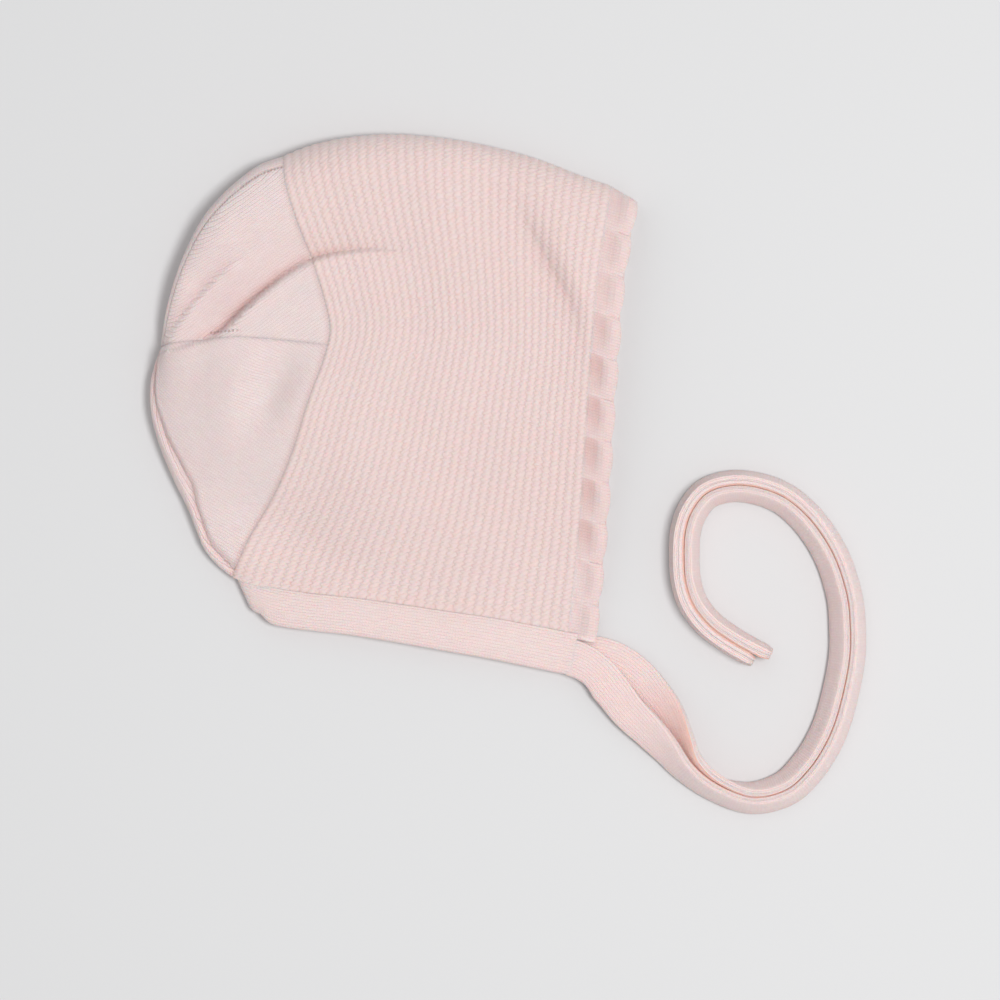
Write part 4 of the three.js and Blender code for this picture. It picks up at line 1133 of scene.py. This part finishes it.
def tie_route():
    start_point, across, tangent, width = neck_frame(first_run)
    origin = start_point + across * (width / 2 + GAP * 0.6) - tangent * GAP
    points = np.array([origin + np.array(p) * TIE_LENGTH for p in TIE_ROUTE])
    before, after = 2 * points[0] - points[1], 2 * points[-1] - points[-2]
    padded = np.vstack([before, points, after])
    samples = []
    for i in range(len(points) - 1):
        p0, p1, p2, p3 = padded[i : i + 4]
        d0, d1, d2 = (max(np.linalg.norm(b - a), 1e-6) ** 0.5 for a, b in ((p0, p1), (p1, p2), (p2, p3)))
        t1 = ((p1 - p0) / d0 - (p2 - p0) / (d0 + d1) + (p2 - p1) / d1) * d1
        t2 = ((p2 - p1) / d1 - (p3 - p1) / (d1 + d2) + (p3 - p2) / d2) * d1
        t = np.linspace(0, 1, TIE_SPAN_SAMPLES, endpoint=i == len(points) - 2)[:, None]
        samples.append(
            p1 + t1 * t + (-3 * p1 + 3 * p2 - 2 * t1 - t2) * t**2 + (2 * p1 - 2 * p2 + t1 + t2) * t**3
        )
    samples = np.concatenate(samples)
    return samples, lengths_along(samples), tangent


route_points, route_lengths, band_tangent = tie_route()


def lay_at(lay, at, which):
    """A column of the lay, with its corners rounded off."""
    rows = np.array(lay)
    around = at + np.linspace(-0.02, 0.02, 9)
    return float(np.mean(np.interp(around, rows[:, 0], rows[:, which])))


def route_at(length):
    return np.array([np.interp(length, route_lengths, route_points[:, k]) for k in (0, 1)])


def tie(name, lay, end, facing_shade):
    """One tie up to its end; the faces beside the other tie get the painted shade given for them."""
    flat = fold_section(TIE_WIDTH, TIE_THICKNESS, TIE_SLOT_WIDTH, TIE_SLOT_DEPTH)
    sections = []
    for i in range(TIE_STATIONS + 1):
        at = end * i / TIE_STATIONS
        side, roll, lift, wide, thick = (lay_at(lay, at, k) for k in range(1, 6))
        wanted = at * route_lengths[-1]
        spot = route_at(wanted)
        ahead = unit(route_at(wanted + 0.2) - route_at(wanted - 0.2))
        tangent = unit(lerp(-band_tangent, ahead, smooth(at / START_TURN)))
        if i == 0:
            spot = spot + band_tangent * TIE_LAP
        left = np.array([-tangent[1], tangent[0], 0])
        angle = math.radians(roll)
        tip = 1 - TIP_TAPER * smooth((at / end - TIP_START) / (1 - TIP_START)) ** 2
        wide, thick = wide * tip, thick * tip
        half_width, half_thick = TIE_WIDTH * wide / 2, TIE_THICKNESS * thick / 2
        rest = half_width * abs(math.sin(angle)) + half_thick * abs(math.cos(angle))
        centre = np.array([*spot, rest + lift * TIE_THICKNESS]) + left * side * TIE_WIDTH
        across = (half_width - flat[:, :1] * wide) * (left * math.cos(angle) + up * math.sin(angle))
        through = flat[:, 1:] * thick * (up * math.cos(angle) - left * math.sin(angle))
        sections.append(centre + across + through)
    lengths = np.linspace(0, route_lengths[-1], TIE_STATIONS + 1)
    inside = SHADED_FOLD_FACES | facing_shade
    piece = swept_strip(name, np.array(sections), lengths, way_round(flat), inside)
    piece.data.materials.append(band_material)
    return piece


near_facing_shade = {8: 0.5, 9: 0.5, 10: 0.8, 11: 1}
near_tie = tie("near_tie_knit", NEAR_TIE_LAY, NEAR_TIE_END, near_facing_shade)
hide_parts("near_tie")
far_facing_shade = {0: 0.9, 1: 0.6, 2: 0.4, 3: 0.4}
far_tie = tie("far_tie_knit", FAR_TIE_LAY, 1.0, far_facing_shade)
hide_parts("far_tie")


# Surface, light and camera
# A plain pale surface under soft light from the right, seen from straight above.

FLOOR_DARK = (0.70, 0.70, 0.705, 1)
FLOOR_PALE = (0.73, 0.73, 0.735, 1)
bpy.ops.mesh.primitive_plane_add(size=4, location=(0, 0, -0.0002))
floor = bpy.context.object
floor.name = "pale_surface"
floor_material = bpy.data.materials.new("Pale surface")
floor_material.use_nodes = True
knit = Knit(floor_material.node_tree)
floor_shader = floor_material.node_tree.nodes["Principled BSDF"]
floor_shader.inputs["Roughness"].default_value = 0.7
floor_shader.inputs["Specular IOR Level"].default_value = 0.2
speckle = knit.node("ShaderNodeTexNoise")
speckle.inputs["Scale"].default_value = 6.0
floor_colour = knit.mix(speckle.outputs[0], FLOOR_DARK, FLOOR_PALE)
knit.put(floor_shader.inputs["Base Color"], floor_colour)
floor.data.materials.append(floor_material)

scene = bpy.context.scene
world = bpy.data.worlds.new("Studio")
scene.world = world
world.use_nodes = True
world.node_tree.nodes["Background"].inputs[0].default_value = (1, 1, 1, 1)
world.node_tree.nodes["Background"].inputs[1].default_value = 0.55


def soft_light(name, place, aim, width, power):
    light = bpy.data.lights.new(name, "AREA")
    light.shape = "DISK"
    light.size = width
    light.energy = power
    holder = bpy.data.objects.new(name, light)
    bpy.context.collection.objects.link(holder)
    holder.location = place
    direction = Vector(aim) - Vector(place)
    holder.rotation_euler = direction.to_track_quat("-Z", "Y").to_euler()


soft_light("Window", place=(0.44, -0.07, 1.47), aim=(0.02, -0.03, 0), width=0.42, power=12.9)

# The camera looks straight down from so high, and its picture is so wide at the surface.
CAMERA_HEIGHT = 1.6
PICTURE_WIDTH = 0.312
SENSOR_WIDTH = 36
camera_data = bpy.data.cameras.new("Camera")
camera = bpy.data.objects.new("Camera", camera_data)
bpy.context.collection.objects.link(camera)
camera.location = (0.0217, -0.031, CAMERA_HEIGHT)
camera.rotation_euler = (0, 0, 0)
camera_data.sensor_width = SENSOR_WIDTH
camera_data.lens = SENSOR_WIDTH * CAMERA_HEIGHT / PICTURE_WIDTH
scene.camera = camera
scene.view_settings.view_transform = "Standard"
